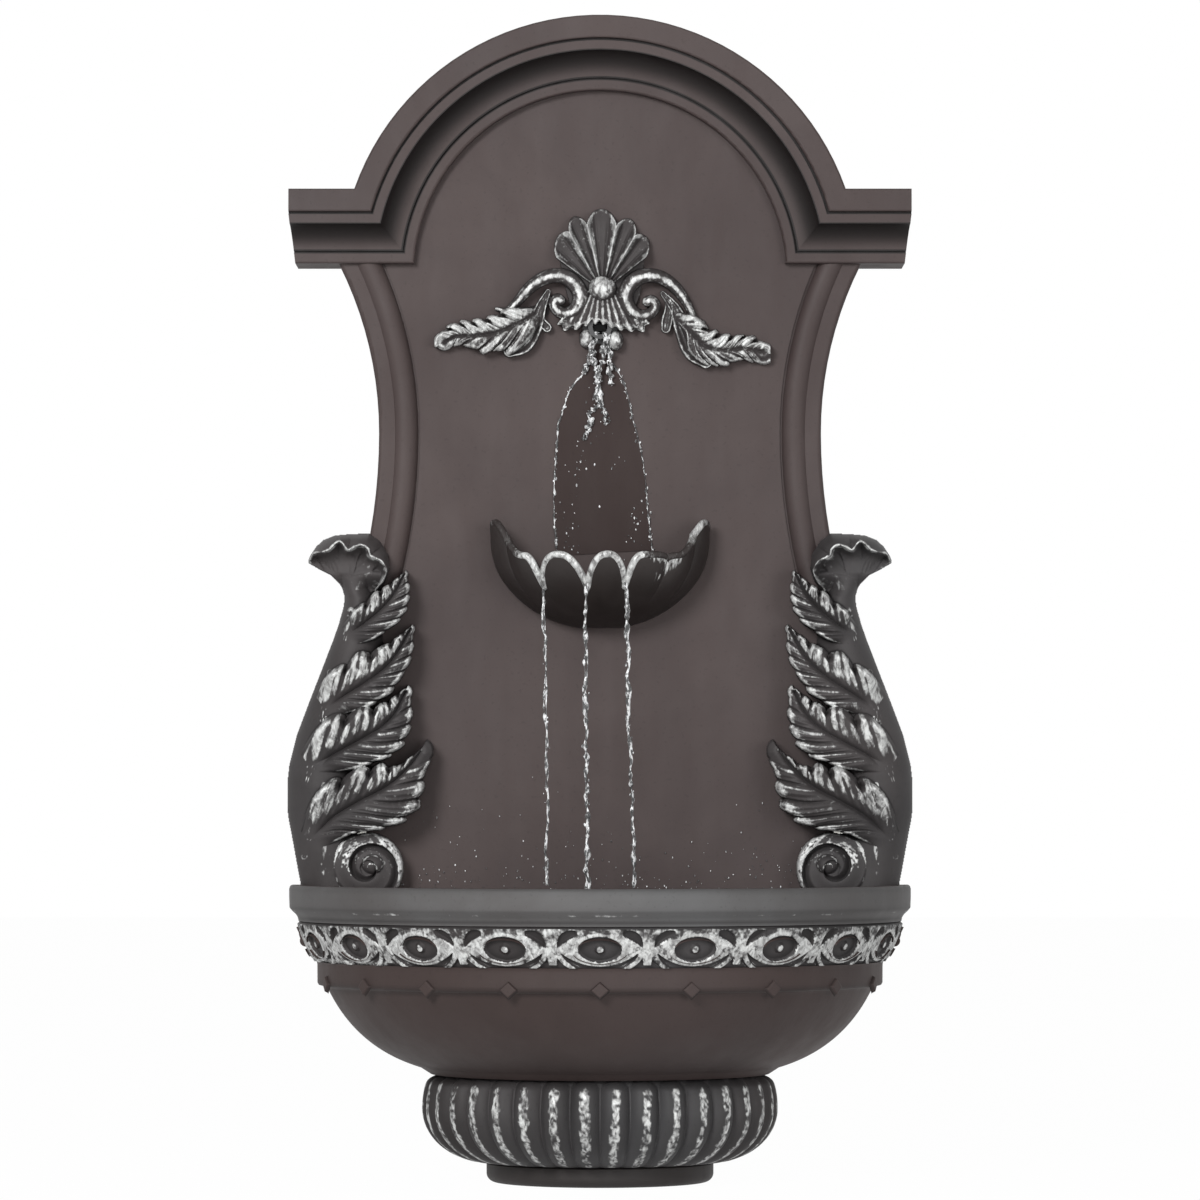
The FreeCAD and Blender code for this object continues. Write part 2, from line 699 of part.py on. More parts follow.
def hex_bolt_y(x, z, seat_depth, grip):
    """A bolt whose washer lies on the inside of the panel's wall at seat_depth."""
    under_head = seat_depth - WASHER
    head = hexagon(BOLT_HEAD_FLATS, x, z, under_head - BOLT_HEAD, under_head)
    return head.fuse(rod_y(BOLT_RADIUS, x, z, under_head, seat_depth + PANEL_WALL + grip))


def washer_y(x, z, seat_depth):
    ring = rod_y(WASHER_RADIUS, x, z, seat_depth - WASHER, seat_depth)
    return ring.cut(rod_y(BOLT_HOLE, x, z, 0, REACH))


def bracket_bolts():
    bolts = []
    for x, z in bracket_bolt_places():
        bolts += both_sides(hex_bolt_y(x, z, HOLLOW_DEPTH, BRACKET_BOLT_GRIP))
    return Part.makeCompound(bolts)


def bracket_washers():
    washers = []
    for x, z in bracket_bolt_places():
        washers += both_sides(washer_y(x, z, HOLLOW_DEPTH))
    return Part.makeCompound(washers)


def bowl_bolts():
    bolts = [hex_bolt_y(x, z, HOLLOW_DEPTH, BOWL_BOLT_GRIP) for x, z in bowl_bolt_places()]
    return Part.makeCompound(bolts)


def bowl_washers():
    return Part.makeCompound([washer_y(x, z, HOLLOW_DEPTH) for x, z in bowl_bolt_places()])


def pan_screw_y(x, z, seat_depth, length):
    head = rod_y(SCREW_HEAD_RADIUS, x, z, seat_depth - SCREW_HEAD, seat_depth)
    return head.fuse(rod_y(SCREW_RADIUS, x, z, seat_depth, seat_depth + length))


def crest_screws():
    screws = []
    for x, z in crest_screw_places():
        screws.append(pan_screw_y(x, z, HOLLOW_DEPTH, PANEL_WALL + CREST_SCREW_GRIP))
    return Part.makeCompound(screws)


def basin_bolt_depth():
    return 0.5 * RECESS_DEPTH - 4


def basin_bolts():
    bolts = []
    under_head = LEDGE_FOOT_Z - WASHER
    for side in (-1, 1):
        x = side * 0.5 * BASIN_BOLT_SPACING
        head = hexagon(BOLT_HEAD_FLATS, 0, 0, 0, BOLT_HEAD)
        head.rotate(V(0, 0, 0), V(1, 0, 0), 90)
        head.translate(front(x, basin_bolt_depth(), under_head) - V(0, 0, head.BoundBox.ZMax))
        shank = rod_z(BOLT_RADIUS, x, basin_bolt_depth(), under_head, LEDGE_Z + BASIN_BOLT_GRIP)
        bolts.append(head.fuse(shank))
    return Part.makeCompound(bolts)


def basin_washers():
    washers = []
    for side in (-1, 1):
        x = side * 0.5 * BASIN_BOLT_SPACING
        ring = rod_z(WASHER_RADIUS, x, basin_bolt_depth(), LEDGE_FOOT_Z - WASHER, LEDGE_FOOT_Z)
        washers.append(ring.cut(rod_z(BOLT_HOLE, x, basin_bolt_depth(), 0, REACH)))
    return Part.makeCompound(washers)


# Carved forms that the crest and the brackets share

def acanthus(root, lean_deg, length, width, relief, lobes):
    """A leaf on a flat back: lobed edges, a domed top that rolls up to the tip and a midrib."""
    lean = math.radians(lean_deg)
    along = V(math.cos(lean), 0, math.sin(lean))
    across = V(-math.sin(lean), 0, math.cos(lean))
    point = root + along * length

    def at(share, side):
        half = 0.5 * width * math.sin(math.pi * (0.16 + 0.84 * share)) ** 0.6
        return root + along * (length * share) + across * (side * half)

    edges = [line(at(0.0, -0.8), at(0.0, 0.8))]
    for side in (-1, 1):
        here = at(0.0, side * 0.8)
        for number in range(lobes):
            tip = at((number + 1.12) / (lobes + 0.35), side)
            swell = (here + tip) * 0.5 + across * (side * 0.1 * width)
            edges.append(arc(here, swell, tip))
            notch = at((number + 1.0) / (lobes + 0.35), side * 0.62)
            here = notch if number < lobes - 1 else point
            edges.append(line(tip, here))
    blank = forward(face(Part.__sortEdges__(edges)), REACH)
    stations = []
    for share, fat, rise in ((-0.06, 0.8, 0.55), (0.3, 1.25, 0.95), (0.65, 1.25, 1.0), (1.02, 0.75, 0.6)):
        centre = root + along * (length * share)
        stations.append((centre, across * (0.5 * width * fat), V(0, -relief * rise, 0)))
    start = root + V(0, -0.8 * relief, 0)
    rib = Part.makeCylinder(0.09 * width, 1.1 * length, start, along * length + V(0, -0.16 * relief, 0))
    return horn(stations).common(blank).cut(rib)


def volute(x, z, radius, turns, depth0, depth1, hand):
    """A spiral ridge on a low disc, round an eye; hand +1 winds in anticlockwise."""
    eye = 0.26 * radius
    ridge = 0.46 * (radius - eye) / turns
    steps = int(8 * turns)
    outer = []
    inner = []
    for step in range(steps + 1):
        share = step / steps
        turn = math.radians(-60) + hand * share * turns * 2 * math.pi
        out = radius + (eye + 0.6 * ridge - radius) * share
        into = out - ridge
        outer.append(front(x + hand * out * math.cos(turn), depth0, z + out * math.sin(turn)))
        inner.append(front(x + hand * into * math.cos(turn), depth0, z + into * math.sin(turn)))
    outside = Part.BSplineCurve()
    outside.interpolate(outer)
    inside = Part.BSplineCurve()
    inside.interpolate(inner)
    ends = [line(outer[0], inner[0]), line(outer[-1], inner[-1])]
    wire = Part.Wire(Part.__sortEdges__([outside.toShape(), inside.toShape()] + ends))
    ridge_solid = forward(Part.Face(wire), depth1 - depth0)
    disc = rod_y(radius - 0.5 * ridge, x, z, depth0, depth0 + 0.55 * (depth1 - depth0))
    stem = rod_y(eye, x, z, depth0, depth1 - 0.6 * eye)
    button = Part.makeSphere(eye, front(x, depth1 - 0.6 * eye, z))
    return joined([disc, ridge_solid, stem, button])


def fan():
    """The scallop over the boss: hollow flutes between thin ridges, each with a round end."""
    root = front(0, ORNAMENT_BACK, SPOUT_Z + FAN_RISE)
    pitch = 2 * FAN_HALF_DEG / FAN_FLUTES

    def along(turn_deg):
        turn = math.radians(turn_deg)
        return V(math.sin(turn), 0, math.cos(turn))

    edges = []
    cones = []
    half_width = FAN_LENGTH * math.sin(math.radians(0.5 * pitch))
    top = 0.85 * CREST_RELIEF
    for number in range(FAN_FLUTES):
        turn = -FAN_HALF_DEG + pitch * number
        middle = along(turn + 0.5 * pitch)
        edges.append(arc(root + along(turn) * FAN_LENGTH, root + middle * (FAN_LENGTH + FAN_SCALLOP),
                         root + along(turn + pitch) * FAN_LENGTH))
        start = root + V(0, -top - 0.3, 0)
        axis = middle * FAN_LENGTH + V(0, -0.35 * half_width, 0)
        cones.append(Part.makeCone(0.2, 1.25 * half_width, 1.25 * FAN_LENGTH, start, axis))
    edges.append(line(root + along(FAN_HALF_DEG) * FAN_LENGTH, root))
    edges.append(line(root, root + along(-FAN_HALF_DEG) * FAN_LENGTH))
    return forward(face(edges), top).cut(cones)


def apron():
    """The fluted skirt round the spout hole: a scalloped section cut to a rounded outline."""
    pitch = 2 * APRON_HALF / APRON_FLUTES
    valley = ORNAMENT_BACK + 0.8 * CREST_RELIEF
    top = SPOUT_Z + 0.8 * APRON_HEIGHT
    low = SPOUT_Z - 0.55 * APRON_HEIGHT
    edges = []
    for number in range(APRON_FLUTES):
        x = -APRON_HALF + pitch * number
        ridge = valley + 0.4 * pitch
        middle = front(x + 0.5 * pitch, ridge, low)
        edges.append(arc(front(x, valley, low), middle, front(x + pitch, valley, low)))
    path = ((1, valley), (1, 0), (-1, 0), (-1, valley))
    corners = [front(side * APRON_HALF, depth, low) for side, depth in path]
    edges += [line(a, b) for a, b in zip(corners, corners[1:])]
    skirt = face(edges).extrude(V(0, 0, top - low))
    outline = [
        line(front(-APRON_HALF, 0, top), front(APRON_HALF, 0, top)),
        line(front(APRON_HALF, 0, top), front(APRON_HALF, 0, SPOUT_Z)),
        arc(front(APRON_HALF, 0, SPOUT_Z), front(0, 0, low + 1), front(-APRON_HALF, 0, SPOUT_Z)),
        line(front(-APRON_HALF, 0, SPOUT_Z), front(-APRON_HALF, 0, top)),
    ]
    return skirt.common(forward(face(outline), FASCIA_DEPTH))


def crest_ornament():
    solids = [fan()]
    face_depth = ORNAMENT_BACK + CREST_RELIEF
    boss_centre = front(0, face_depth - 0.4 * BOSS_RADIUS, SPOUT_Z + BOSS_RISE)
    solids.append(Part.makeSphere(BOSS_RADIUS, boss_centre))
    volute_z = SPOUT_Z + CREST_VOLUTE_RISE
    right_volute = volute(CREST_VOLUTE_SPREAD, volute_z, CREST_VOLUTE_RADIUS, CREST_VOLUTE_TURNS,
                          ORNAMENT_BACK, face_depth, 1)
    solids += both_sides(right_volute)
    wing_root = front(CREST_VOLUTE_SPREAD, ORNAMENT_BACK, SPOUT_Z + 0.5 * CREST_VOLUTE_RISE)
    wing = acanthus(wing_root, WING_LEAN_DEG, WING_LENGTH, WING_WIDTH, CREST_RELIEF, WING_LOBES)
    solids += both_sides(wing)
    solids.append(apron())
    bead_z = SPOUT_Z - BEAD_DROP
    for side in (-1, 1):
        solids.append(Part.makeSphere(BEAD_RADIUS, front(side * BEAD_SPREAD, face_depth, bead_z)))
    crest = in_front_of(joined(solids), ORNAMENT_BACK)
    cuts = [
        rod_y(SPOUT_RADIUS + SLIP_FIT, 0, SPOUT_Z, 0, REACH),
        rod_y(0.5 * LOCKNUT_FLATS * 1.2, 0, SPOUT_Z, 0, PANEL_FIELD_DEPTH + LOCKNUT + CASTING_JOINT),
    ]
    for x, z in crest_screw_places():
        cuts.append(rod_y(SCREW_HOLE, x, z, 0, PANEL_FIELD_DEPTH + CREST_SCREW_GRIP + 1))
    return crest.cut(cuts)


# Scallop bowl

def shell_edges():
    """The angles between the lobes, from ear to ear, with how deep the lip dips at each."""
    count = int(90 / SHELL_PITCH_DEG)
    edges = [(-90.0, 0.5)]
    for number in range(-count, count + 1):
        angle = SHELL_TURN_DEG + number * SHELL_PITCH_DEG
        if abs(angle) < 90 - 0.3 * SHELL_PITCH_DEG:
            edges.append((angle, 1.0 if abs(number) <= 1 else 0.3))
    return edges + [(90.0, 0.5)]


def shell_point(angle, share, groove, dip, wall, back_depth):
    """A point of the scallop.

    The angle is from straight out, share goes from the root to the lip, groove from 0 on a
    lobe's crest to 1 between two lobes, and dip is how deep the lip is notched there.
    """
    lip = SHELL_LIP_RISE + SHELL_EAR_RISE * (angle / 80.0) ** 2
    lip -= SHELL_NOTCH * dip * groove
    start = math.asin(SHELL_ROOT_RADIUS / SHELL_RADIUS)
    turn = start + (0.5 * math.pi - start) * share
    radius = SHELL_RADIUS * math.sin(turn) - wall - SHELL_FLUTE * share * groove
    height = wall + (lip - wall) * (math.cos(start) - math.cos(turn)) / math.cos(start)
    around = math.radians(angle)
    reach = radius - (back_depth - ORNAMENT_BACK)
    return front(radius * math.sin(around), back_depth + reach * math.cos(around), SHELL_FOOT_Z + height)


def scallop_ring(share, wall, back_depth, level=None):
    """One closed section of the scallop: a curve for each lobe and the line on the wall."""
    steps = (-1, -0.8, -0.4, 0, 0.4, 0.8, 1)
    edges = []
    ends = []
    bounds = shell_edges()
    for (angle0, dip0), (angle1, dip1) in zip(bounds, bounds[1:]):
        points = []
        for across in steps:
            angle = 0.5 * (angle0 + angle1) + 0.5 * (angle1 - angle0) * across
            groove = 1 - math.cos(0.5 * math.pi * across) ** 0.7 if abs(across) < 1 else 1
            dip = dip0 if across < 0 else dip1
            points.append(shell_point(angle, share, groove, dip, wall, back_depth))
        if level is not None:
            points = [V(p.x, p.y, level) for p in points]
        curve = Part.BSplineCurve()
        curve.interpolate(points)
        edges.append(curve.toShape())
        ends += [points[0], points[-1]]
    edges.append(line(ends[-1], ends[0]))
    return Part.Wire(edges)


def cup(outer_rings, inner_rings):
    """A thin-walled cup: two smooth skins, ruled together at the lip and flat at their roots."""
    faces = Part.makeLoft(outer_rings, False, False).Faces
    faces += Part.makeLoft([outer_rings[-1], inner_rings[-1]], False, True).Faces
    faces += Part.makeLoft(inner_rings, False, False).Faces
    faces += [Part.Face(outer_rings[0]), Part.Face(inner_rings[0])]
    shell = Part.makeShell(faces)
    shell.sewShape(0.01)
    solid = Part.makeSolid(shell)
    if solid.Volume < 0:
        solid.reverse()
    return solid


def shell_bowl():
    shares = (0.0, 0.3, 0.55, 0.8, 1.0)
    outer_rings = [scallop_ring(share, 0, ORNAMENT_BACK) for share in shares]
    inside = ORNAMENT_BACK + SHELL_WALL
    inner_rings = [scallop_ring(share, SHELL_WALL, inside) for share in (0.25, 0.5, 0.75, 1.0)]
    flat = inner_rings[0].Vertexes[0].Z
    inner_rings[0] = scallop_ring(0.25, SHELL_WALL, inside, flat)
    bowl = cup(outer_rings, inner_rings)
    sill = SHELL_FOOT_Z + SHELL_BACK_RISE
    side = [shell_point(90, 0.1 * step, 1, 0.5, SHELL_WALL + 1, inside) for step in range(3, 11)]
    side = [p for p in side if p.z > sill + 1]
    side = [V(side[0].x, 0, sill)] + [V(p.x, 0, p.z) for p in side] + [V(side[-1].x, 0, side[-1].z + 20)]
    outline = side + [V(-p.x, 0, p.z) for p in reversed(side)]
    bowl = bowl.cut(forward(polygon(outline), inside + 1))
    hole_end = PANEL_FIELD_DEPTH + BOWL_BOLT_GRIP + 1
    holes = [rod_y(BOLT_HOLE, x, z, 0, hole_end) for x, z in bowl_bolt_places()]
    return bowl.cut(holes)


# Scroll brackets

def spine():
    """The bracket's outer S, as a loft of half ovals whose outer side follows the flank."""
    stations = []
    low = LEDGE_Z + LEDGE_DROP + CASTING_JOINT
    high = LEDGE_Z + BRACKET_TOP_RISE - CURL_HEIGHT + SPINE_HALF
    for step in range(7):
        share = step / 6
        swell = math.sin(math.pi * share)
        half = SPINE_HALF + SPINE_SWELL * swell
        z = low + (high - low) * share
        x = flank_x(z, BRACKET_OVERHANG) - half
        relief = V(0, -SPINE_RELIEF - 0.5 * SPINE_SWELL * swell, 0)
        stations.append((front(x, ORNAMENT_BACK, z), V(half, 0, 0), relief))
    return horn(stations)


def bracket_leaf(number):
    """Leaf `number` from below: its tip points inwards and up, its root lies on the spine."""
    lean = math.radians(LEAF_LEAN_DEG + LEAF_LEAN_STEP_DEG * number)
    length = LEAF_LENGTH - LEAF_LENGTH_STEP * number
    tip_x = VOLUTE_HALF_SPREAD - LEAF_TIP_INSET + LEAF_TIP_STEP * number
    tip_z = LEDGE_Z + LEAF_RISE + LEAF_PITCH * number
    root = front(tip_x + length * math.cos(lean), ORNAMENT_BACK, tip_z - length * math.sin(lean))
    width = LEAF_WIDTH - LEAF_WIDTH_STEP * number
    return acanthus(root, 180 - math.degrees(lean), length, width, LEAF_RELIEF, LEAF_LOBES)


def top_curl():
    """The flared leaf that rolls outwards over the top of the bracket, hollow in front."""
    z1 = LEDGE_Z + BRACKET_TOP_RISE
    middle = flank_x(z1 - CURL_HEIGHT, 0)
    stations = []
    for step in range(6):
        share = step / 5
        flare = math.sin(math.pi * share ** 1.3) ** 2
        centre = front(middle + 0.5 * CURL_FLARE * flare, ORNAMENT_BACK, z1 - CURL_HEIGHT * (1 - share))
        relief = V(0, -CURL_RELIEF - CURL_FLARE * flare, 0)
        stations.append((centre, V(CURL_NECK + CURL_FLARE * flare, 0, 0), relief))
    depth = ORNAMENT_BACK + CURL_RELIEF + 2 * CURL_FLARE
    hollow = Part.makeSphere(CURL_HOLLOW_RADIUS, front(middle + CURL_FLARE, depth, z1 - 0.5 * CURL_HEIGHT))
    return horn(stations).cut(hollow)


def scroll_bracket_right():
    solids = [
        spine(),
        volute(VOLUTE_HALF_SPREAD, LEDGE_Z + VOLUTE_RISE, VOLUTE_RADIUS, VOLUTE_TURNS,
               ORNAMENT_BACK, ORNAMENT_BACK + BRACKET_RELIEF, 1),
        top_curl(),
    ]
    solids += [bracket_leaf(number) for number in range(LEAF_COUNT)]
    bracket = in_front_of(joined(solids), ORNAMENT_BACK)
    roll = PANEL_FIELD_DEPTH + ROLL_RAISE + CASTING_JOINT + 0.5
    clearance = box(0, REACH, 0, roll, BORDER_FOOT_Z - 1, REACH * 2)
    cuts = [clearance]
    for x, z in bracket_bolt_places():
        cuts.append(rod_y(BOLT_HOLE, x, z, 0, PANEL_FIELD_DEPTH + BRACKET_BOLT_GRIP + 1))
    return bracket.cut(cuts)


# Basin, pendant and foot

def basin_outline(outer):
    """Half section of the basin: the outside, or the hollow that is cut from it."""
    def at(r, z):
        return V(r, 0, z)

    neck_top = BASIN_FOOT_Z + NECK_HEIGHT
    bowl_foot_r = BASIN_NECK_RADIUS + 7
    if outer:
        points = [at(0, BASIN_FOOT_Z), at(BASIN_NECK_RADIUS, BASIN_FOOT_Z), at(bowl_foot_r, neck_top)]
        edges = [line(points[0], points[1]), line(points[1], points[2])]
        bowl_top = at(BOWL_TOP_RADIUS, MOULDING_FOOT_Z)
        edges.append(bow(points[2], bowl_top, BOWL_SWELL))
        moulding = [at(MOULDING_RADIUS - 1.5, MOULDING_FOOT_Z), at(MOULDING_RADIUS, MOULDING_FOOT_Z + 1.5),
                    at(MOULDING_RADIUS, FRIEZE_FOOT_Z)]
        edges += [line(a, b) for a, b in zip([bowl_top] + moulding, moulding)]
        frieze = [at(FRIEZE_FOOT_RADIUS, FRIEZE_FOOT_Z + 0.5), at(FRIEZE_TOP_RADIUS, FRIEZE_TOP_Z)]
        edges += [line(moulding[2], frieze[0]), bow(frieze[0], frieze[1], FRIEZE_SWELL)]
        chamfer = [at(RIM_RADIUS - RIM_CHAMFER, RIM_FOOT_Z - 2), at(RIM_RADIUS, RIM_FOOT_Z + 3)]
        edges += [line(frieze[1], chamfer[0]), line(chamfer[0], chamfer[1])]
        r = RIM_ROUNDING
        bevel = r * (1 - math.sqrt(0.5))
        lip = [at(RIM_RADIUS, RIM_TOP_Z - r), at(RIM_RADIUS - bevel, RIM_TOP_Z - bevel),
               at(RIM_RADIUS - r, RIM_TOP_Z)]
        edges += [line(chamfer[1], lip[0]), arc(*lip)]
        edges += [line(lip[2], at(0, RIM_TOP_Z)), line(at(0, RIM_TOP_Z), points[0])]
        return face(edges)
    wall = BASIN_WALL
    above = RIM_TOP_Z + 1
    path = [
        at(0, BASIN_FLOOR_Z),
        at(bowl_foot_r - 4, BASIN_FLOOR_Z),
        at(BOWL_TOP_RADIUS - wall, MOULDING_FOOT_Z),
        at(FRIEZE_FOOT_RADIUS - wall, FRIEZE_FOOT_Z),
        at(FRIEZE_TOP_RADIUS - wall, FRIEZE_TOP_Z),
        at(RIM_RADIUS - RIM_WALL, RIM_FOOT_Z),
        at(RIM_RADIUS - RIM_WALL, above),
        at(0, above),
    ]
    edges = [line(path[0], path[1]), bow(path[1], path[2], BOWL_SWELL - 2)]
    edges += [line(a, b) for a, b in zip(path[2:], path[3:])]
    edges.append(line(path[-1], path[0]))
    return face(edges)


def eye(angle):
    """An oval ring with a bead in it, laid on the slope of the frieze."""
    slope = math.atan2(FRIEZE_FLARE, FRIEZE_HEIGHT)
    radius = 0.5 * (FRIEZE_TOP_RADIUS + FRIEZE_FOOT_RADIUS) + FRIEZE_SWELL
    middle = front(0, radius, 0.5 * (FRIEZE_TOP_Z + FRIEZE_FOOT_Z))
    out = V(0, -math.cos(slope), -math.sin(slope))
    up = V(0, -math.sin(slope), math.cos(slope))
    base = middle - out * BASIN_WALL * 0.5
    ovals = []
    for band in (0, EYE_BAND):
        across = V(0.5 * EYE_LENGTH - band, 0, 0)
        oval = oval_face(base, across, up * (0.5 * EYE_HEIGHT - band))
        ovals.append(oval.extrude(out * (BASIN_WALL * 0.5 + EYE_RELIEF)))
    ring = ovals[0].cut(ovals[1])
    bead = Part.makeSphere(EYE_BEAD_RADIUS, middle + out * 0.5)
    solid = Part.makeCompound([ring, bead])
    solid.rotate(V(0, 0, 0), V(0, 0, 1), angle)
    return solid.Solids


def basin():
    body = half_turn(basin_outline(True))
    count = int(90 / EYE_PITCH_DEG)
    eyes = []
    for number in range(-count, count + 1):
        eyes += eye(number * EYE_PITCH_DEG)
    body = joined([body] + eyes).common(box(-REACH, REACH, 0, REACH, -1, REACH))

    hollow = half_turn(basin_outline(False))
    pool = hollow.common(box(-REACH, REACH, BACK_WALL_DEPTH, REACH, 0, REACH))
    recess = hollow.common(box(-REACH, REACH, -1, RECESS_DEPTH, 0, LEDGE_FOOT_Z))
    seat = hollow.common(box(-REACH, REACH, -1, BACK_WALL_DEPTH + 1, LEDGE_Z, REACH))
    notch = TUBE_RADIUS + TUBE_NOTCH_GAP
    socket_top = BASIN_FOOT_Z + SPIGOT_HEIGHT + CASTING_JOINT
    cuts = [
        pool,
        recess,
        seat,
        box(-notch, notch, -1, TUBE_DEPTH + notch, LEDGE_FOOT_Z - 1, LEDGE_Z + 1),
        rod_y(GROMMET_RADIUS, 0, TUBE_ENTRY_Z, RECESS_DEPTH - 1, BACK_WALL_DEPTH + 1),
        half_disc(SPIGOT_RADIUS + CASTING_JOINT, BASIN_FOOT_Z - 1, socket_top),
    ]
    for side in (-1, 1):
        bolt_x = side * 0.5 * BASIN_BOLT_SPACING
        cuts.append(rod_z(BOLT_HOLE, bolt_x, basin_bolt_depth(), LEDGE_FOOT_Z - 1, LEDGE_Z + 1))
    return body.cut(cuts)


def half_disc(radius, z0, z1):
    return half_turn(polygon([V(0, 0, z0), V(radius, 0, z0), V(radius, 0, z1), V(0, 0, z1)]))


def gadroon_ring(radius, depth, z):
    """A level section of the pendant: one arc for each gadroon and the line on the wall."""
    pitch = 180.0 / GADROON_COUNT
    edges = []
    first = None
    for number in range(GADROON_COUNT):
        points = []
        low = radius - depth
        for angle, r in ((number, low), (number + 0.5, radius), (number + 1, low)):
            turn = math.radians(180 + angle * pitch)
            points.append(V(r * math.cos(turn), r * math.sin(turn), z))
        first = first or points[0]
        edges.append(arc(*points))
        last = points[2]
    edges.append(line(last, first))
    return Part.Wire(edges)


def pendant():
    rings = []
    span = PENDANT_RADIUS - FOOT_RADIUS
    for turn_deg in (4, 20, 38, 56, 74, 90):
        turn = math.radians(turn_deg)
        radius = FOOT_RADIUS + span * math.sin(turn)
        rings.append((radius, PENDANT_BELLY_RISE * (1 - math.cos(turn))))
    top_turn = math.radians(84)
    shoulder_rise = (PENDANT_HEIGHT - PENDANT_BELLY_RISE) / math.sin(top_turn)
    for turn in (top_turn / 3, top_turn * 2 / 3, top_turn):
        radius = PENDANT_NECK_RADIUS + (PENDANT_RADIUS - PENDANT_NECK_RADIUS) * math.cos(turn)
        rings.append((radius, PENDANT_BELLY_RISE + shoulder_rise * math.sin(turn)))
    rings[0] = (rings[0][0], 0.0)
    wires = []
    for radius, rise in rings:
        depth = GADROON_DEPTH * radius / PENDANT_RADIUS
        wires.append(gadroon_ring(radius, depth, PENDANT_FOOT_Z + rise))
    body = Part.makeLoft(wires, True)
    spigot = half_disc(SPIGOT_RADIUS, BASIN_FOOT_Z - 1, BASIN_FOOT_Z + SPIGOT_HEIGHT)
    hollow = half_disc(PENDANT_NECK_RADIUS - PENDANT_WALL - GADROON_DEPTH, PENDANT_FOOT_Z + PENDANT_FLOOR,
                       BASIN_FOOT_Z - PENDANT_FLOOR)
    socket = half_disc(FOOT_SPIGOT_RADIUS + CASTING_JOINT, PENDANT_FOOT_Z - 1,
                       PENDANT_FOOT_Z + SPIGOT_HEIGHT + CASTING_JOINT)
    return body.fuse(spigot).cut([hollow, socket])


def foot():
    r = FOOT_ROUNDING
    bevel = r * (1 - math.sqrt(0.5))
    edges = [
        line(V(0, 0, 0), V(FOOT_RADIUS - r, 0, 0)),
        arc(V(FOOT_RADIUS - r, 0, 0), V(FOOT_RADIUS - bevel, 0, bevel), V(FOOT_RADIUS, 0, r)),
        line(V(FOOT_RADIUS, 0, r), V(FOOT_RADIUS, 0, FOOT_HEIGHT - 1)),
        line(V(FOOT_RADIUS, 0, FOOT_HEIGHT - 1), V(FOOT_RADIUS - 1, 0, FOOT_HEIGHT)),
        line(V(FOOT_RADIUS - 1, 0, FOOT_HEIGHT), V(0, 0, FOOT_HEIGHT)),
        line(V(0, 0, FOOT_HEIGHT), V(0, 0, 0)),
    ]
    spigot = half_disc(FOOT_SPIGOT_RADIUS, FOOT_HEIGHT - 1, FOOT_HEIGHT + SPIGOT_HEIGHT)
    return half_turn(face(edges)).fuse(spigot)


# Water way

def spout_elbow():
    collar_z = SPOUT_Z - SPOUT_RADIUS - 2
    solids = [
        rod_y(SPOUT_RADIUS, 0, SPOUT_Z, TUBE_DEPTH - SPOUT_RADIUS, PANEL_FIELD_DEPTH + SPOUT_REACH),
        rod_y(SPOUT_FLANGE_RADIUS, 0, SPOUT_Z, HOLLOW_DEPTH - SPOUT_FLANGE, HOLLOW_DEPTH),
        rod_z(TUBE_RADIUS + 0.5, 0, TUBE_DEPTH, collar_z, SPOUT_Z),
        rod_z(TUBE_BORE - SLIP_FIT, 0, TUBE_DEPTH, collar_z - SPIGOT_LENGTH, SPOUT_Z),
    ]
    bores = [
        rod_y(SPOUT_BORE, 0, SPOUT_Z, TUBE_DEPTH, REACH),
        rod_z(TUBE_BORE - 1.3, 0, TUBE_DEPTH, collar_z - SPIGOT_LENGTH - 1, SPOUT_Z),
    ]
    return joined(solids).cut(bores)


def spout_locknut():
    nut = hexagon(LOCKNUT_FLATS, 0, SPOUT_Z, PANEL_FIELD_DEPTH, PANEL_FIELD_DEPTH + LOCKNUT)
    return nut.cut(rod_y(SPOUT_RADIUS + SLIP_FIT, 0, SPOUT_Z, 0, REACH))


def riser_tube():
    """From the pump's outlet, back through the grommet and up behind the panel."""
    start_z = PUMP_TOP_Z + CASTING_JOINT
    outlet_bend = TUBE_ENTRY_Z - (PUMP_TOP_Z + SPIGOT_LENGTH)
    end_z = SPOUT_Z - SPOUT_RADIUS - 2
    corner = math.sqrt(0.5)
    r0 = outlet_bend
    r1 = TUBE_RISER_BEND
    points = [
        front(0, PUMP_DEPTH, start_z),
        front(0, PUMP_DEPTH, TUBE_ENTRY_Z - r0),
        front(0, PUMP_DEPTH - r0 + r0 * corner, TUBE_ENTRY_Z - r0 + r0 * corner),
        front(0, PUMP_DEPTH - r0, TUBE_ENTRY_Z),
        front(0, TUBE_DEPTH + r1, TUBE_ENTRY_Z),
        front(0, TUBE_DEPTH + r1 - r1 * corner, TUBE_ENTRY_Z + r1 - r1 * corner),
        front(0, TUBE_DEPTH, TUBE_ENTRY_Z + r1),
        front(0, TUBE_DEPTH, end_z),
    ]
    path = Part.Wire([
        line(points[0], points[1]),
        arc(points[1], points[2], points[3]),
        line(points[3], points[4]),
        arc(points[4], points[5], points[6]),
        line(points[6], points[7]),
    ])
    outside = Part.Wire(Part.makeCircle(TUBE_RADIUS, points[0], V(0, 0, 1)))
    inside = Part.Wire(Part.makeCircle(TUBE_BORE, points[0], V(0, 0, 1)))
    tube = path.makePipeShell([outside], True, False).cut(path.makePipeShell([inside], True, False))
    expected = math.pi * (TUBE_RADIUS ** 2 - TUBE_BORE ** 2) * path.Length
    print("riser tube: %.0f mm long, bends %.0f and %.0f mm, volume %.3f of section times length"
          % (path.Length, r0, r1, tube.Volume / expected))
    return tube


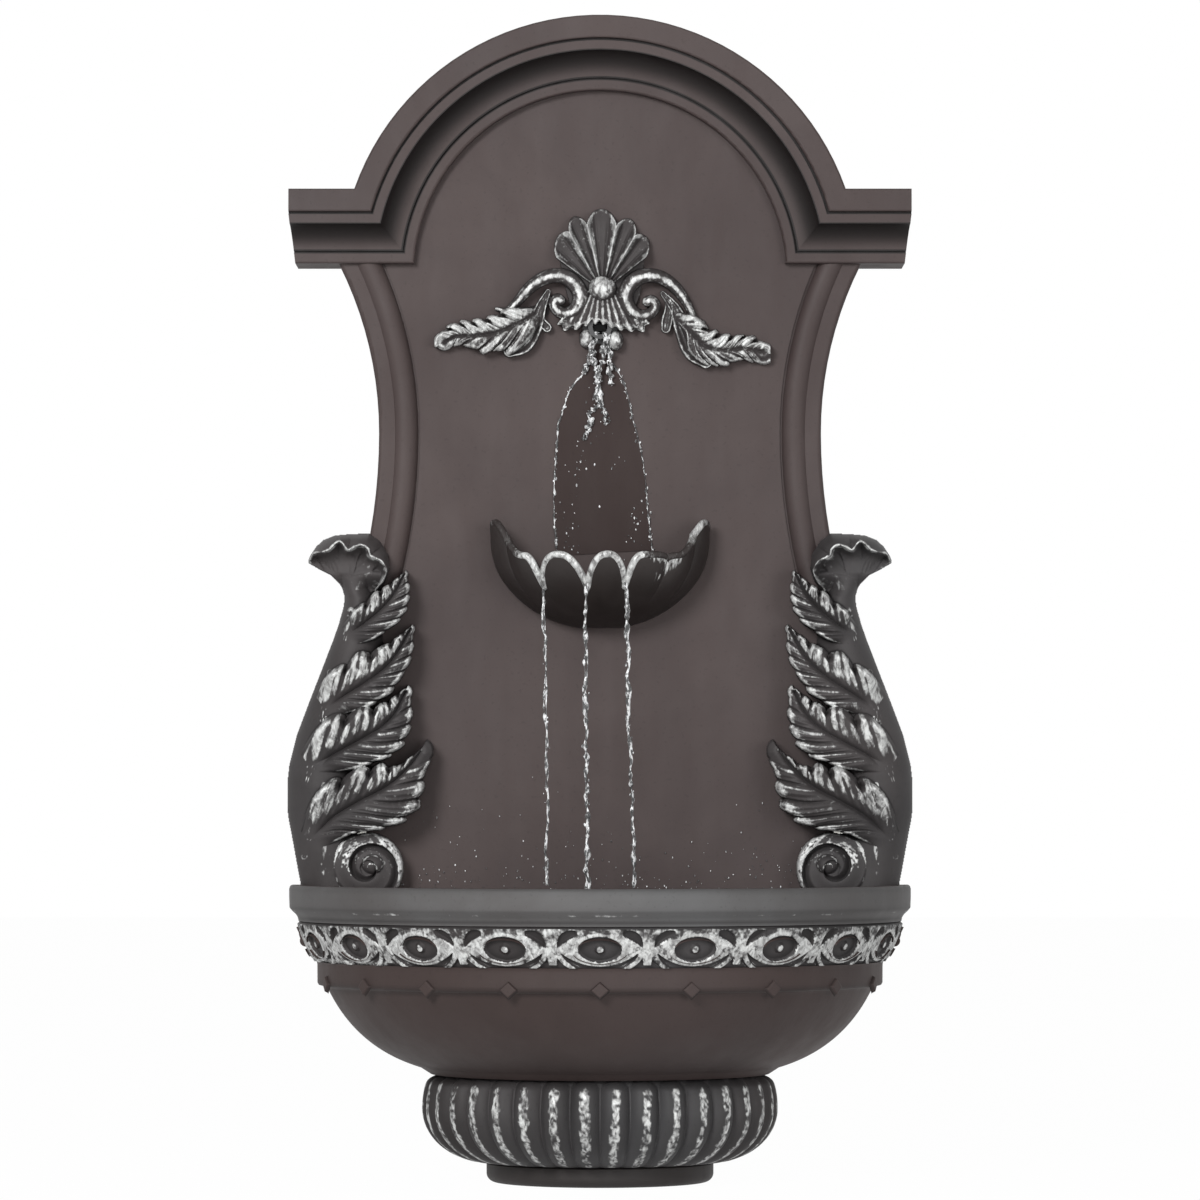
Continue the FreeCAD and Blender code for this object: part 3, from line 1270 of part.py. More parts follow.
def tube_grommet():
    flange = GROMMET_RADIUS + 3
    solids = [
        rod_y(GROMMET_RADIUS - SLIP_FIT, 0, TUBE_ENTRY_Z, RECESS_DEPTH, BACK_WALL_DEPTH),
        rod_y(flange, 0, TUBE_ENTRY_Z, RECESS_DEPTH - GROMMET_LIP, RECESS_DEPTH),
        rod_y(flange, 0, TUBE_ENTRY_Z, BACK_WALL_DEPTH, BACK_WALL_DEPTH + GROMMET_LIP),
    ]
    return joined(solids).cut(rod_y(TUBE_RADIUS + SLIP_FIT, 0, TUBE_ENTRY_Z, 0, REACH))


def clip_screw_x():
    return TUBE_RADIUS + CLIP_WALL + 0.5 * CLIP_TAB


def tube_clips():
    clips = []
    half = TUBE_RADIUS + CLIP_WALL
    for z in clip_heights():
        z0 = z - 0.5 * CLIP_WIDTH
        z1 = z + 0.5 * CLIP_WIDTH
        saddle = rod_z(half, 0, TUBE_DEPTH, z0, z1)
        saddle = saddle.fuse(box(-half, half, TUBE_DEPTH, HOLLOW_DEPTH, z0, z1))
        tab = box(0, half + CLIP_TAB, HOLLOW_DEPTH - CLIP_TAB_THICKNESS, HOLLOW_DEPTH, z0, z1)
        mouth = 0.8 * TUBE_RADIUS
        cuts = [
            rod_z(TUBE_RADIUS + SLIP_FIT, 0, TUBE_DEPTH, z0 - 1, z1 + 1),
            box(-mouth, mouth, 0, TUBE_DEPTH - 0.6 * TUBE_RADIUS, z0 - 1, z1 + 1),
            rod_y(SCREW_HOLE, clip_screw_x(), z, 0, REACH),
        ]
        clips.append(saddle.fuse(tab).cut(cuts))
    return Part.makeCompound(clips)


def clip_screws():
    seat = HOLLOW_DEPTH - CLIP_TAB_THICKNESS
    length = CLIP_TAB_THICKNESS + CLIP_SCREW_GRIP
    return Part.makeCompound([pan_screw_y(clip_screw_x(), z, seat, length) for z in clip_heights()])


# Submersible pump: the rotor's axis lies along X and the outlet rises at X = 0

BLOCK_END_X = 0.5 * CHAMBER_LENGTH - 1
BLOCK_START_X = BLOCK_END_X - PUMP_LENGTH
SPIGOT_END_X = BLOCK_END_X + PUMP_SPIGOT_LENGTH
COVER_X = SPIGOT_END_X - COVER_THICKNESS
CHAMBER_X = COVER_X - CHAMBER_LENGTH
WELL_X = CHAMBER_X - MAGNET_LENGTH - 2 * RUNNING_GAP
REAR_BUSH_X = WELL_X - BUSH_LENGTH


def rounded_block(x0, x1, half_y, z0, z1, rounding):
    block = box(x0, x1, PUMP_DEPTH - half_y, PUMP_DEPTH + half_y, z0, z1)
    long_edges = [e for e in block.Edges if abs(e.tangentAt(e.FirstParameter).x) > 0.9]
    return block.makeFillet(rounding, long_edges)


def suction_places():
    middle = BLOCK_START_X + 0.5 * PUMP_LENGTH
    places = []
    for side_x in (-0.5, 0.5):
        for side_y in (-0.5, 0.5):
            places.append((middle + side_x * SUCTION_SPREAD_X, PUMP_DEPTH + side_y * SUCTION_SPREAD_Y))
    return places


def pump_housing():
    block = rounded_block(BLOCK_START_X, BLOCK_END_X, 0.5 * PUMP_WIDTH, PUMP_FOOT_Z, PUMP_TOP_Z,
                          PUMP_ROUNDING)
    step = PUMP_SPIGOT_STEP
    collar = rounded_block(BLOCK_END_X - 1, SPIGOT_END_X, 0.5 * PUMP_WIDTH - step, PUMP_FOOT_Z + step,
                           PUMP_TOP_Z - step, PUMP_ROUNDING - 1)
    outlet = rod_z(TUBE_BORE - SLIP_FIT, 0, PUMP_DEPTH, PUMP_TOP_Z - 1, PUMP_TOP_Z + SPIGOT_LENGTH)
    cuts = [
        rod_x(COVER_RADIUS + SLIP_FIT, COVER_X, SPIGOT_END_X + 1, PUMP_DEPTH, ROTOR_Z),
        rod_x(CHAMBER_RADIUS, CHAMBER_X, COVER_X + 1, PUMP_DEPTH, ROTOR_Z),
        rod_x(ROTOR_WELL_RADIUS, WELL_X, CHAMBER_X + 1, PUMP_DEPTH, ROTOR_Z),
        rod_x(BUSH_RADIUS + SLIP_FIT, REAR_BUSH_X, WELL_X + 1, PUMP_DEPTH, ROTOR_Z),
        rod_z(TUBE_BORE - 1.3, 0, PUMP_DEPTH, ROTOR_Z, PUMP_TOP_Z + SPIGOT_LENGTH + 1),
        rod_x(GLAND_STUB_RADIUS + SLIP_FIT, BLOCK_START_X - 1, BLOCK_START_X + GLAND_STUB,
              PUMP_DEPTH, ROTOR_Z),
    ]
    for x, depth in suction_places():
        hole_top = PUMP_FOOT_Z + SUCTION_STEM
        cuts.append(rod_z(SUCTION_STEM_RADIUS + SLIP_FIT, x, depth, PUMP_FOOT_Z - 1, hole_top))
    return joined([block, collar, outlet]).cut(cuts)


def chamber_cover():
    """The disc that closes the impeller's chamber, with the bush carried on three spokes."""
    disc = rod_x(COVER_RADIUS, COVER_X, SPIGOT_END_X, PUMP_DEPTH, ROTOR_Z)
    disc = disc.cut(rod_x(INLET_RADIUS, COVER_X - 1, SPIGOT_END_X + 1, PUMP_DEPTH, ROTOR_Z))
    hub = rod_x(BUSH_RADIUS + BUSH_HUB_WALL, COVER_X, SPIGOT_END_X, PUMP_DEPTH, ROTOR_Z)
    solids = [disc, hub]
    for number in range(3):
        spoke = box(COVER_X, SPIGOT_END_X, PUMP_DEPTH - 0.9, PUMP_DEPTH + 0.9,
                    ROTOR_Z, ROTOR_Z + INLET_RADIUS + 1)
        spoke.rotate(front(0, PUMP_DEPTH, ROTOR_Z), V(1, 0, 0), 120 * number)
        solids.append(spoke)
    seat = rod_x(BUSH_RADIUS + SLIP_FIT, COVER_X - 1, SPIGOT_END_X + 1, PUMP_DEPTH, ROTOR_Z)
    return joined(solids).cut(seat)


def shaft_bushes():
    bushes = []
    for x in (REAR_BUSH_X, COVER_X):
        ring = rod_x(BUSH_RADIUS, x, x + BUSH_LENGTH, PUMP_DEPTH, ROTOR_Z)
        bore = rod_x(SHAFT_RADIUS + 0.5 * SLIP_FIT, x - 1, x + BUSH_LENGTH + 1, PUMP_DEPTH, ROTOR_Z)
        bushes.append(ring.cut(bore))
    return Part.makeCompound(bushes)


def rotor_shaft():
    return rod_x(SHAFT_RADIUS, REAR_BUSH_X, COVER_X + BUSH_LENGTH, PUMP_DEPTH, ROTOR_Z)


def rotor_magnet():
    start = WELL_X + RUNNING_GAP
    body = rod_x(MAGNET_RADIUS, start, start + MAGNET_LENGTH, PUMP_DEPTH, ROTOR_Z)
    bore = rod_x(SHAFT_RADIUS + SLIP_FIT, start - 1, start + MAGNET_LENGTH + 1, PUMP_DEPTH, ROTOR_Z)
    return body.cut(bore)


def impeller():
    """The wheel in the chamber, with a hub that reaches back to the magnet."""
    magnet_end = WELL_X + RUNNING_GAP + MAGNET_LENGTH
    disc_x = CHAMBER_X + RUNNING_GAP
    tip = COVER_X - RUNNING_GAP
    solids = [
        rod_x(IMPELLER_RADIUS, disc_x, disc_x + IMPELLER_DISC, PUMP_DEPTH, ROTOR_Z),
        rod_x(IMPELLER_HUB_RADIUS, magnet_end, tip, PUMP_DEPTH, ROTOR_Z),
    ]
    half = 0.5 * BLADE_THICKNESS
    for number in range(IMPELLER_BLADES):
        blade = box(disc_x, tip - 1, PUMP_DEPTH - half, PUMP_DEPTH + half, ROTOR_Z, ROTOR_Z + IMPELLER_RADIUS)
        blade.rotate(front(0, PUMP_DEPTH, ROTOR_Z), V(1, 0, 0), 360 * number / IMPELLER_BLADES)
        solids.append(blade)
    wheel = joined(solids).common(rod_x(IMPELLER_RADIUS, magnet_end, tip, PUMP_DEPTH, ROTOR_Z))
    return wheel.cut(rod_x(SHAFT_RADIUS + SLIP_FIT, magnet_end - 1, tip + 1, PUMP_DEPTH, ROTOR_Z))


STRAINER_START_X = BLOCK_END_X + CASTING_JOINT
STRAINER_END_X = STRAINER_START_X + STRAINER_LENGTH


def pump_strainer():
    """The slotted cap that pulls straight off the end of the pump."""
    half = 0.5 * PUMP_WIDTH
    outer = rounded_block(STRAINER_START_X, STRAINER_END_X, half, PUMP_FOOT_Z, PUMP_TOP_Z, PUMP_ROUNDING)
    gap = PUMP_SPIGOT_STEP - CASTING_JOINT
    inner = rounded_block(STRAINER_START_X - 1, STRAINER_END_X - STRAINER_WALL, half - gap, PUMP_FOOT_Z + gap,
                          PUMP_TOP_Z - gap, PUMP_ROUNDING - 1)
    cuts = [inner, rod_x(DIAL_STUB_RADIUS + SLIP_FIT, 0, STRAINER_END_X + 1, PUMP_DEPTH, ROTOR_Z)]
    slot_x0 = STRAINER_START_X + PUMP_SPIGOT_LENGTH + 2
    slot_x1 = STRAINER_END_X - 3
    count = int((0.5 * PUMP_HEIGHT - PUMP_ROUNDING) / STRAINER_SLOT_PITCH)
    for number in range(-count, count + 1):
        z = ROTOR_Z + number * STRAINER_SLOT_PITCH
        z0 = z - 0.5 * STRAINER_SLOT
        z1 = z + 0.5 * STRAINER_SLOT
        cuts.append(box(slot_x0, slot_x1, PUMP_DEPTH - half - 1, PUMP_DEPTH + half + 1, z0, z1))
        for side in (-1, 1):
            depths = sorted([PUMP_DEPTH + side * (DIAL_RADIUS + 2), PUMP_DEPTH + side * (half - 4)])
            cuts.append(box(STRAINER_END_X - 3, STRAINER_END_X + 1, depths[0], depths[1], z0, z1))
    return outer.cut(cuts)


def flow_dial():
    """The throttle knob on the strainer's end: a disc, its stub and the snap collar inside."""
    face_x = STRAINER_END_X + CASTING_JOINT
    inside_x = STRAINER_END_X - STRAINER_WALL - CASTING_JOINT
    disc = rod_x(DIAL_RADIUS, face_x, face_x + DIAL_THICKNESS, PUMP_DEPTH, ROTOR_Z)
    grip = box(face_x, face_x + DIAL_THICKNESS + 3, PUMP_DEPTH - 1.5, PUMP_DEPTH + 1.5,
               ROTOR_Z - DIAL_RADIUS + 2, ROTOR_Z + DIAL_RADIUS - 2)
    stub = rod_x(DIAL_STUB_RADIUS, inside_x - 1.5, face_x, PUMP_DEPTH, ROTOR_Z)
    collar = rod_x(DIAL_STUB_RADIUS + 1.2, inside_x - 1.5, inside_x, PUMP_DEPTH, ROTOR_Z)
    notch = rod_x(1.0, face_x + DIAL_THICKNESS - 0.8, face_x + DIAL_THICKNESS + 1,
                  PUMP_DEPTH + DIAL_RADIUS - 2.5, ROTOR_Z)
    return joined([disc, grip, stub, collar]).cut(notch)


def suction_feet():
    feet = []
    for x, depth in suction_places():
        cup = Part.makeCone(SUCTION_FOOT_RADIUS, SUCTION_STEM_RADIUS + 1, SUCTION_FOOT_HEIGHT,
                            front(x, depth, BASIN_FLOOR_Z))
        stem = rod_z(SUCTION_STEM_RADIUS, x, depth, PUMP_FOOT_Z - 1, PUMP_FOOT_Z + SUCTION_STEM - 0.5)
        feet.append(cup.fuse(stem))
    return Part.makeCompound(feet)


def cord_gland():
    """The ribbed gland where the pump's lead leaves its end."""
    x1 = BLOCK_START_X
    cone = Part.makeCone(GLAND_RADIUS, GLAND_BORE + 1.2, GLAND_LENGTH, front(x1, PUMP_DEPTH, ROTOR_Z),
                         V(-1, 0, 0))
    stub = rod_x(GLAND_STUB_RADIUS, x1 - 1, x1 + GLAND_STUB - 0.5, PUMP_DEPTH, ROTOR_Z)
    ribs = []
    for number in range(3):
        x = x1 - 4 - 3.5 * number
        cutter = rod_x(GLAND_RADIUS + 1, x - 0.6, x + 0.6, PUMP_DEPTH, ROTOR_Z)
        ribs.append(cutter.cut(rod_x(GLAND_BORE + 1.0, x - 1, x + 1, PUMP_DEPTH, ROTOR_Z)))
    bore = rod_x(GLAND_BORE, x1 - GLAND_LENGTH - 1, x1 - 2, PUMP_DEPTH, ROTOR_Z)
    return cone.fuse(stub).cut(ribs + [bore])


def write(name, shape):
    solids = shape.Solids
    if len(solids) == 1:
        shape = solids[0]
    bad = [s for s in solids if not s.isValid() or s.Volume <= 0]
    shape.exportStep("parts/%s.step" % name)
    print("%-22s %2d solids  %9.1f cm3  valid %s" % (name, len(solids), shape.Volume / 1000, not bad))


def main():
    os.makedirs("parts", exist_ok=True)
    makers = [
        back_panel, crest_ornament, shell_bowl, basin, pendant, foot,
        hanger_plates, hanger_screws, bracket_bolts, bracket_washers, bowl_bolts, bowl_washers,
        crest_screws, basin_bolts, basin_washers,
        spout_elbow, spout_locknut, riser_tube, tube_grommet, tube_clips, clip_screws,
        pump_housing, chamber_cover, shaft_bushes, rotor_shaft, rotor_magnet, impeller,
        pump_strainer, flow_dial, suction_feet, cord_gland,
    ]
    for maker in makers:
        write(maker.__name__, maker())
    right = scroll_bracket_right()
    write("scroll_bracket_right", right)
    write("scroll_bracket_left", mirrored(right))


main()
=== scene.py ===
# %% [markdown]
# The fountain is a wall piece cast in filled resin, coloured a dark pewter brown and then
# dry-brushed: a nearly dry brush of silver paint is dragged over it, and only the raised
# carving picks the paint up. The frame holds every casting and the pump at its real size.
# The castings with plain mouldings are kept as they are and get a finish. The carved ones
# are modelled again here, because carving needs thousands of small faces.

# %% Frame
import bpy
import json
import math
import numpy as np
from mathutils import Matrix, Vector


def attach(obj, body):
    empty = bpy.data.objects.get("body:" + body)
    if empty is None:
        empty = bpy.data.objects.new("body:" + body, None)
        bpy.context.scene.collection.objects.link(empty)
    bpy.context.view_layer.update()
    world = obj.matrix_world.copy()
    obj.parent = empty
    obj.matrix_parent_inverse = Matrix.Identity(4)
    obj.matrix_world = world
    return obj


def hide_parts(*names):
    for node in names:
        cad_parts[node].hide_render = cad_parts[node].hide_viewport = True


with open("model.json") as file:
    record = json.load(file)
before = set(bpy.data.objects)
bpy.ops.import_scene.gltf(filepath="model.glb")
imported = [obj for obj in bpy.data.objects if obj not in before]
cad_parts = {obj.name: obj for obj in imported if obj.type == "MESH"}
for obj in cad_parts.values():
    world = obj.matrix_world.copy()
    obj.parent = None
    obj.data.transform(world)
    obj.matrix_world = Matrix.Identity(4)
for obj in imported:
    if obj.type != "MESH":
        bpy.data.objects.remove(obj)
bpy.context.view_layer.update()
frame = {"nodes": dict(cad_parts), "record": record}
MM = 0.001

# %% [markdown]
# The camera stands four metres in front of the wall with a long lens, as a product
# photographer would stand, so the arch, the bowl and the foot are seen almost square on.
# It is a little above the basin's rim and tilts up by two degrees.

# %% Camera
CAMERA_DISTANCE = 4.0
CAMERA_HEIGHT = 0.2584
AIM_HEIGHT = 0.3945
FRAME_WIDTH = 0.8169  # how much of the wall the picture takes in, in metres
SENSOR_WIDTH = 36.0

camera_data = bpy.data.cameras.new("camera")
camera = bpy.data.objects.new("camera", camera_data)
bpy.context.scene.collection.objects.link(camera)
camera.location = (0.0, -CAMERA_DISTANCE, CAMERA_HEIGHT)
aim = Vector((0.0, 0.0, AIM_HEIGHT)) - camera.location
camera.rotation_euler = aim.to_track_quat("-Z", "Y").to_euler()
camera_data.sensor_width = SENSOR_WIDTH
camera_data.lens = SENSOR_WIDTH * aim.length / FRAME_WIDTH
camera_data.clip_end = 50.0
bpy.context.scene.camera = camera
bpy.context.scene.view_settings.view_transform = "Standard"
print("lens %.1f mm" % camera_data.lens)

# %% [markdown]
# A matt dark casting shows its form by broad gradients, so the light comes from large
# soft panels: a key from the left and above, a weaker fill from the right and a faint one
# from low in front, which opens the shadow under the basin's rim.

# %% Light

def area_light(name, place, target, size, power):
    data = bpy.data.lights.new(name, "AREA")
    data.shape = "DISK"
    data.size = size
    data.energy = power
    lamp = bpy.data.objects.new(name, data)
    bpy.context.scene.collection.objects.link(lamp)
    lamp.location = place
    lamp.rotation_euler = (Vector(target) - Vector(place)).to_track_quat("-Z", "Y").to_euler()


area_light("key", (-1.3, -3.2, 1.6), (0, 0, 0.4), 1.2, 104)
area_light("fill", (1.7, -2.8, 0.6), (0, 0, 0.4), 1.4, 30)
area_light("low_front", (0.2, -2.8, 0.1), (0, 0, 0.3), 1.4, 12)

# %% [markdown]
# A finish is sums of noise and masks. The two small classes let those sums be written as
# plain arithmetic: a Wire is a socket that can be added or multiplied, and each such step
# puts a Math node in the tree. Any other node comes from one method of the tree.

# %% Shader helpers

class Wire:
    """A socket that takes part in sums."""

    def __init__(self, tree, socket):
        self.tree = tree
        self.socket = socket

    def maths(self, operation, *values):
        return self.tree.node("ShaderNodeMath", {"operation": operation}, values)

    def __add__(self, other): return self.maths("ADD", self, other)
    def __radd__(self, other): return self.maths("ADD", other, self)
    def __sub__(self, other): return self.maths("SUBTRACT", self, other)
    def __rsub__(self, other): return self.maths("SUBTRACT", other, self)
    def __mul__(self, other): return self.maths("MULTIPLY", self, other)
    def __rmul__(self, other): return self.maths("MULTIPLY", other, self)
    def __pow__(self, other): return self.maths("POWER", self, other)
    def __rpow__(self, other): return self.maths("POWER", other, self)
    def larger(self, other): return self.maths("MAXIMUM", self, other)

    def between(self, low, high):
        """0 below low, 1 above high and a soft step from one to the other."""
        return self.tree.node("ShaderNodeMapRange", {"interpolation_type": "SMOOTHSTEP"},
                              {"Value": self, "From Min": low, "From Max": high})

    def output(self, name):
        """Another output of the same node."""
        return Wire(self.tree, self.socket.node.outputs[name])


class Tree:
    """The node tree of one material or of the world."""

    def __init__(self, owner):
        self.tree = owner.node_tree
        self.tree.nodes.clear()

    def node(self, kind, settings=None, values=None, output=0):
        """Add a node: its settings first, then the values or the links of its sockets."""
        made = self.tree.nodes.new(kind)
        for name, value in (settings or {}).items():
            setattr(made, name, value)
        pairs = values.items() if isinstance(values, dict) else enumerate(values or ())
        for name, value in pairs:
            socket = made.inputs[name]
            if isinstance(value, Wire):
                self.tree.links.new(value.socket, socket)
            elif socket.type == "RGBA":
                socket.default_value = (*value, 1.0)
            else:
                socket.default_value = value
        return Wire(self, made.outputs[output]) if len(made.outputs) else None

    def noise(self, place, scale, detail, roughness, distortion=0.0):
        return self.node("ShaderNodeTexNoise", {}, {
            "Vector": place, "Scale": scale, "Detail": detail, "Roughness": roughness,
            "Distortion": distortion})

    def mix(self, share, colour0, colour1):
        """A blend of two colours, which are sockets 6 and 7 of a Mix node set to colours."""
        return self.node("ShaderNodeMix", {"data_type": "RGBA"}, {0: share, 6: colour0, 7: colour1}, 2)

    def place(self, scale=(1.0, 1.0, 1.0)):
        """The place on the piece in metres. A small scale stretches a pattern along that axis."""
        spot = self.node("ShaderNodeTexCoord", output="Object")
        return self.node("ShaderNodeMapping", {}, {"Vector": spot, "Scale": scale})


def new_finish(name):
    material = bpy.data.materials.new(name)
    material.use_nodes = True
    return material, Tree(material)


print("shader helpers ready")

# %% [markdown]
# The picture's ground is plain white. Making it white with lamps would burn out the
# casting, so the surround is white only to the camera, in reflections and through water,
# and weak as a light.

# %% Surround
WORLD_LIGHT = 0.24
WHITE = (1.0, 1.0, 1.0)

world = bpy.data.worlds.new("surround")
bpy.context.scene.world = world
world.use_nodes = True
sky = Tree(world)
ray = sky.node("ShaderNodeLightPath")
seen = ray.output("Is Camera Ray") + ray.output("Is Glossy Ray") + ray.output("Is Transmission Ray")
strength = WORLD_LIGHT + seen.between(0.0, 1.0) * (1.0 - WORLD_LIGHT)
background = sky.node("ShaderNodeBackground", {}, {"Color": WHITE, "Strength": strength})
sky.node("ShaderNodeOutputWorld", {}, {"Surface": background})
print("surround ready, its light:", WORLD_LIGHT)

# %% [markdown]
# The floor is level with the foot, as if the fountain was set down against a wall. A plain
# white floor would turn grey under these soft lights. This one glows white to the camera,
# and a small share of it stays a matt surface, so that it still takes a faint shadow.

# %% Floor
FLOOR_GLOW = 0.985
FLOOR_DROP = 0.0005  # keeps the floor clear of the foot's underside

floor_mesh = bpy.data.meshes.new("floor")
floor_mesh.from_pydata([(-9, -6, 0), (9, -6, 0), (9, 9, 0), (-9, 9, 0)], [], [(0, 1, 2, 3)])
floor = bpy.data.objects.new("floor", floor_mesh)
floor.location.z = -FLOOR_DROP
bpy.context.scene.collection.objects.link(floor)
floor_finish, tree = new_finish("floor_white")
ray = tree.node("ShaderNodeLightPath")
white = tree.node("ShaderNodeEmission", {}, {"Color": WHITE, "Strength": 1.0})
matt = tree.node("ShaderNodeBsdfDiffuse", {}, {"Color": (0.85, 0.85, 0.85)})
share = (ray.output("Is Camera Ray") + ray.output("Is Glossy Ray")).between(0.0, 1.0) * FLOOR_GLOW
mixed = tree.node("ShaderNodeMixShader", {}, [share, matt, white])
tree.node("ShaderNodeOutputMaterial", {}, {"Surface": mixed})
floor_mesh.materials.append(floor_finish)
print("floor ready, drop in mm:", FLOOR_DROP / MM)

# %% [markdown]
# The deep lines of the cornice and the outer half of its cove, which faces down under the
# fillet, get painted shade. Those run at fixed distances from the outline, so the shader
# places the shade by that distance. Values on the mesh would need many more points along
# each line, and this way the frame's own smooth surface can be kept.

# %% Painted shade in the cornice
ARCH_RADIUS = 0.175
ARCH_HEIGHT = 0.612
SHOULDER_TOP = 0.6695


def cornice_painted_shade(tree, spot):
    """Painted shade in the cornice: two grooves and the outer half of the cove between them.

    The distance in from the outline is measured from the arch's circle or the shoulders' top.
    """
    split = tree.node("ShaderNodeSeparateXYZ", {}, {"Vector": spot})
    x, y, z = (split.output(axis) for axis in "XYZ")
    arch = ARCH_RADIUS - (x * x + (z - ARCH_HEIGHT) * (z - ARCH_HEIGHT)) ** 0.5
    inward = arch.larger(SHOULDER_TOP - z)
    outer_groove = inward.between(0.0150, 0.0158) * (1.0 - inward.between(0.0168, 0.0176))
    cove = inward.between(0.0222, 0.0234) * (1.0 - inward.between(0.0262, 0.0440))
    inner_groove = inward.between(0.0390, 0.0402) * (1.0 - inward.between(0.0416, 0.0432))
    return (outer_groove + cove + inner_groove).between(0.0, 1.0) * (0.0 - y).between(0.028, 0.032)


print("cornice wash ready, arch radius in mm:", ARCH_RADIUS / MM)

# %% [markdown]
# The casting's colour is a dark pewter brown wash over a darker body: cloudy, a little
# bluer where the wash lies thick, with fine grain. The silver is a second layer. Its mask
# is the carving's own relief plus a streaky noise, passed through a soft step, so strong
# relief takes solid paint and weak relief only scattered strokes, as a dry brush leaves
# them. The relief is a value on each point of the mesh, named brush. How deep a point lies
# in its hollow is another one, which darkens it as painted shade. The paint lies a hair
# proud of the body, which the bump shows.

# %% Cast resin finish
SILVER_THIN, SILVER_THICK = (0.25, 0.247, 0.245), (0.66, 0.67, 0.66)


def shade(colour, share):
    return tuple(share * v for v in colour)


def cast_finish(name, dark, light, cool, roughness=0.62, grain=1.0, painted_shade=False):
    material, tree = new_finish(name)
    spot = tree.place()
    cloud = tree.noise(spot, 7.0, 5.0, 0.6, 0.4)
    patch = tree.noise(spot, 2.6, 3.0, 0.5)
    speck = tree.noise(spot, 420.0, 2.0, 0.5)
    smear = tree.noise(tree.place((1.0, 1.0, 0.25)), 60.0, 4.0, 0.65)
    body = tree.mix(cloud.between(0.32, 0.7), dark, light)
    body = tree.mix(patch.between(0.45, 0.75) * 0.55, body, cool)
    body = tree.mix((smear - 0.5).between(0.0, 0.25) * 0.16, body, light)
    body = tree.mix(speck.between(0.62, 0.72) * 0.22, body, shade(dark, 0.45))
    brush = tree.node("ShaderNodeAttribute", {"attribute_name": "brush"}, output=2)
    streak = tree.noise(tree.place((1.0, 1.0, 0.55)), 260.0, 6.0, 0.7, 0.8)
    blotch = tree.noise(spot, 55.0, 4.0, 0.6)
    worn = (brush + (streak - 0.5) * 1.0 + (blotch - 0.5) * 0.5).between(0.30, 0.86)
    silver = tree.mix(streak.between(0.35, 0.65), SILVER_THIN, SILVER_THICK)
    # Painted shade: hollows of the carving are darkened by how deep they lie.
    recess_shade = tree.node("ShaderNodeAttribute", {"attribute_name": "recess_shade"}, output=2)
    body = tree.mix(recess_shade * 0.8, body, shade(dark, 0.30))
    # Painted shade: the cornice's grooves and the outer half of its cove are darkened.
    if painted_shade:
        body = tree.mix(cornice_painted_shade(tree, spot) * 0.93, body, shade(dark, 0.12))
    colour = tree.mix(worn, body, silver)
    height = speck * 0.00006 * grain + smear * 0.00022 * grain + worn * 0.00008
    bump = tree.node("ShaderNodeBump", {}, {"Height": height, "Strength": 0.7, "Distance": 1.0})
    shader = tree.node("ShaderNodeBsdfPrincipled", {}, {
        "Base Color": colour,
        "Roughness": roughness + (smear - 0.5) * 0.25 - worn * 0.16,
        "Metallic": worn * 0.15,
        "Normal": bump,
        "Specular IOR Level": 0.28,
    })
    tree.node("ShaderNodeOutputMaterial", {}, {"Surface": shader})
    return material


panel_finish = cast_finish(
    "pewter_field", (0.0415, 0.0295, 0.0285), (0.0575, 0.0425, 0.0405), (0.048, 0.040, 0.041), painted_shade=True)
carved_finish = cast_finish(
    "brushed_carving", (0.026, 0.0225, 0.0225), (0.052, 0.046, 0.046), (0.042, 0.047, 0.051))
bowl_finish = cast_finish("basin_brown", (0.034, 0.0225, 0.0205), (0.047, 0.032, 0.0295), (0.039, 0.030, 0.030))
rim_finish = cast_finish("rim_grey", (0.077, 0.072, 0.071), (0.112, 0.111, 0.112), (0.098, 0.102, 0.106))
shell_finish = cast_finish(
    "shell_dark", (0.018, 0.014, 0.013), (0.034, 0.028, 0.027), (0.026, 0.027, 0.029), roughness=0.48)
# The foot is the same resin as the basin; this darker copy is painted shade, against the light the white floor
# bounces onto it.
foot_shaded_finish = cast_finish("foot_painted_shade", (0.018, 0.014, 0.013), (0.029, 0.024, 0.023), (0.023, 0.022, 0.022))
print("cast finishes:", panel_finish.name, carved_finish.name, bowl_finish.name)

# %% [markdown]
# The hidden fittings are shop parts: zinc plated screws, black and grey mouldings, clear
# tube and rubber. They could share one grey, but the back and the pump are looked at too,
# so each material of the frame gets its own colour, polish and grain from one function.

# %% Fittings' finishes

def fitting_finish(name, colour, roughness, metallic=0.0, scale=300.0, depth=0.00002,
                   transmission=0.0, tint=0.25):
    """A plain finish with clouds of a darker tint, uneven polish and a fine grain."""
    material, tree = new_finish(name)
    spot = tree.place()
    grain = tree.noise(spot, scale, 3.0, 0.55)
    cloud = tree.noise(spot, scale * 0.12, 3.0, 0.5)
    body = tree.mix(cloud.between(0.3, 0.7), colour, shade(colour, 1.0 - tint))
    bump = tree.node("ShaderNodeBump", {}, {"Height": grain * depth, "Strength": 0.6, "Distance": 1.0})
    shader = tree.node("ShaderNodeBsdfPrincipled", {}, {
        "Base Color": body, "Roughness": roughness + (grain - 0.5) * 0.2, "Metallic": metallic,
        "Transmission Weight": transmission, "Normal": bump})
    tree.node("ShaderNodeOutputMaterial", {}, {"Surface": shader})
    return material


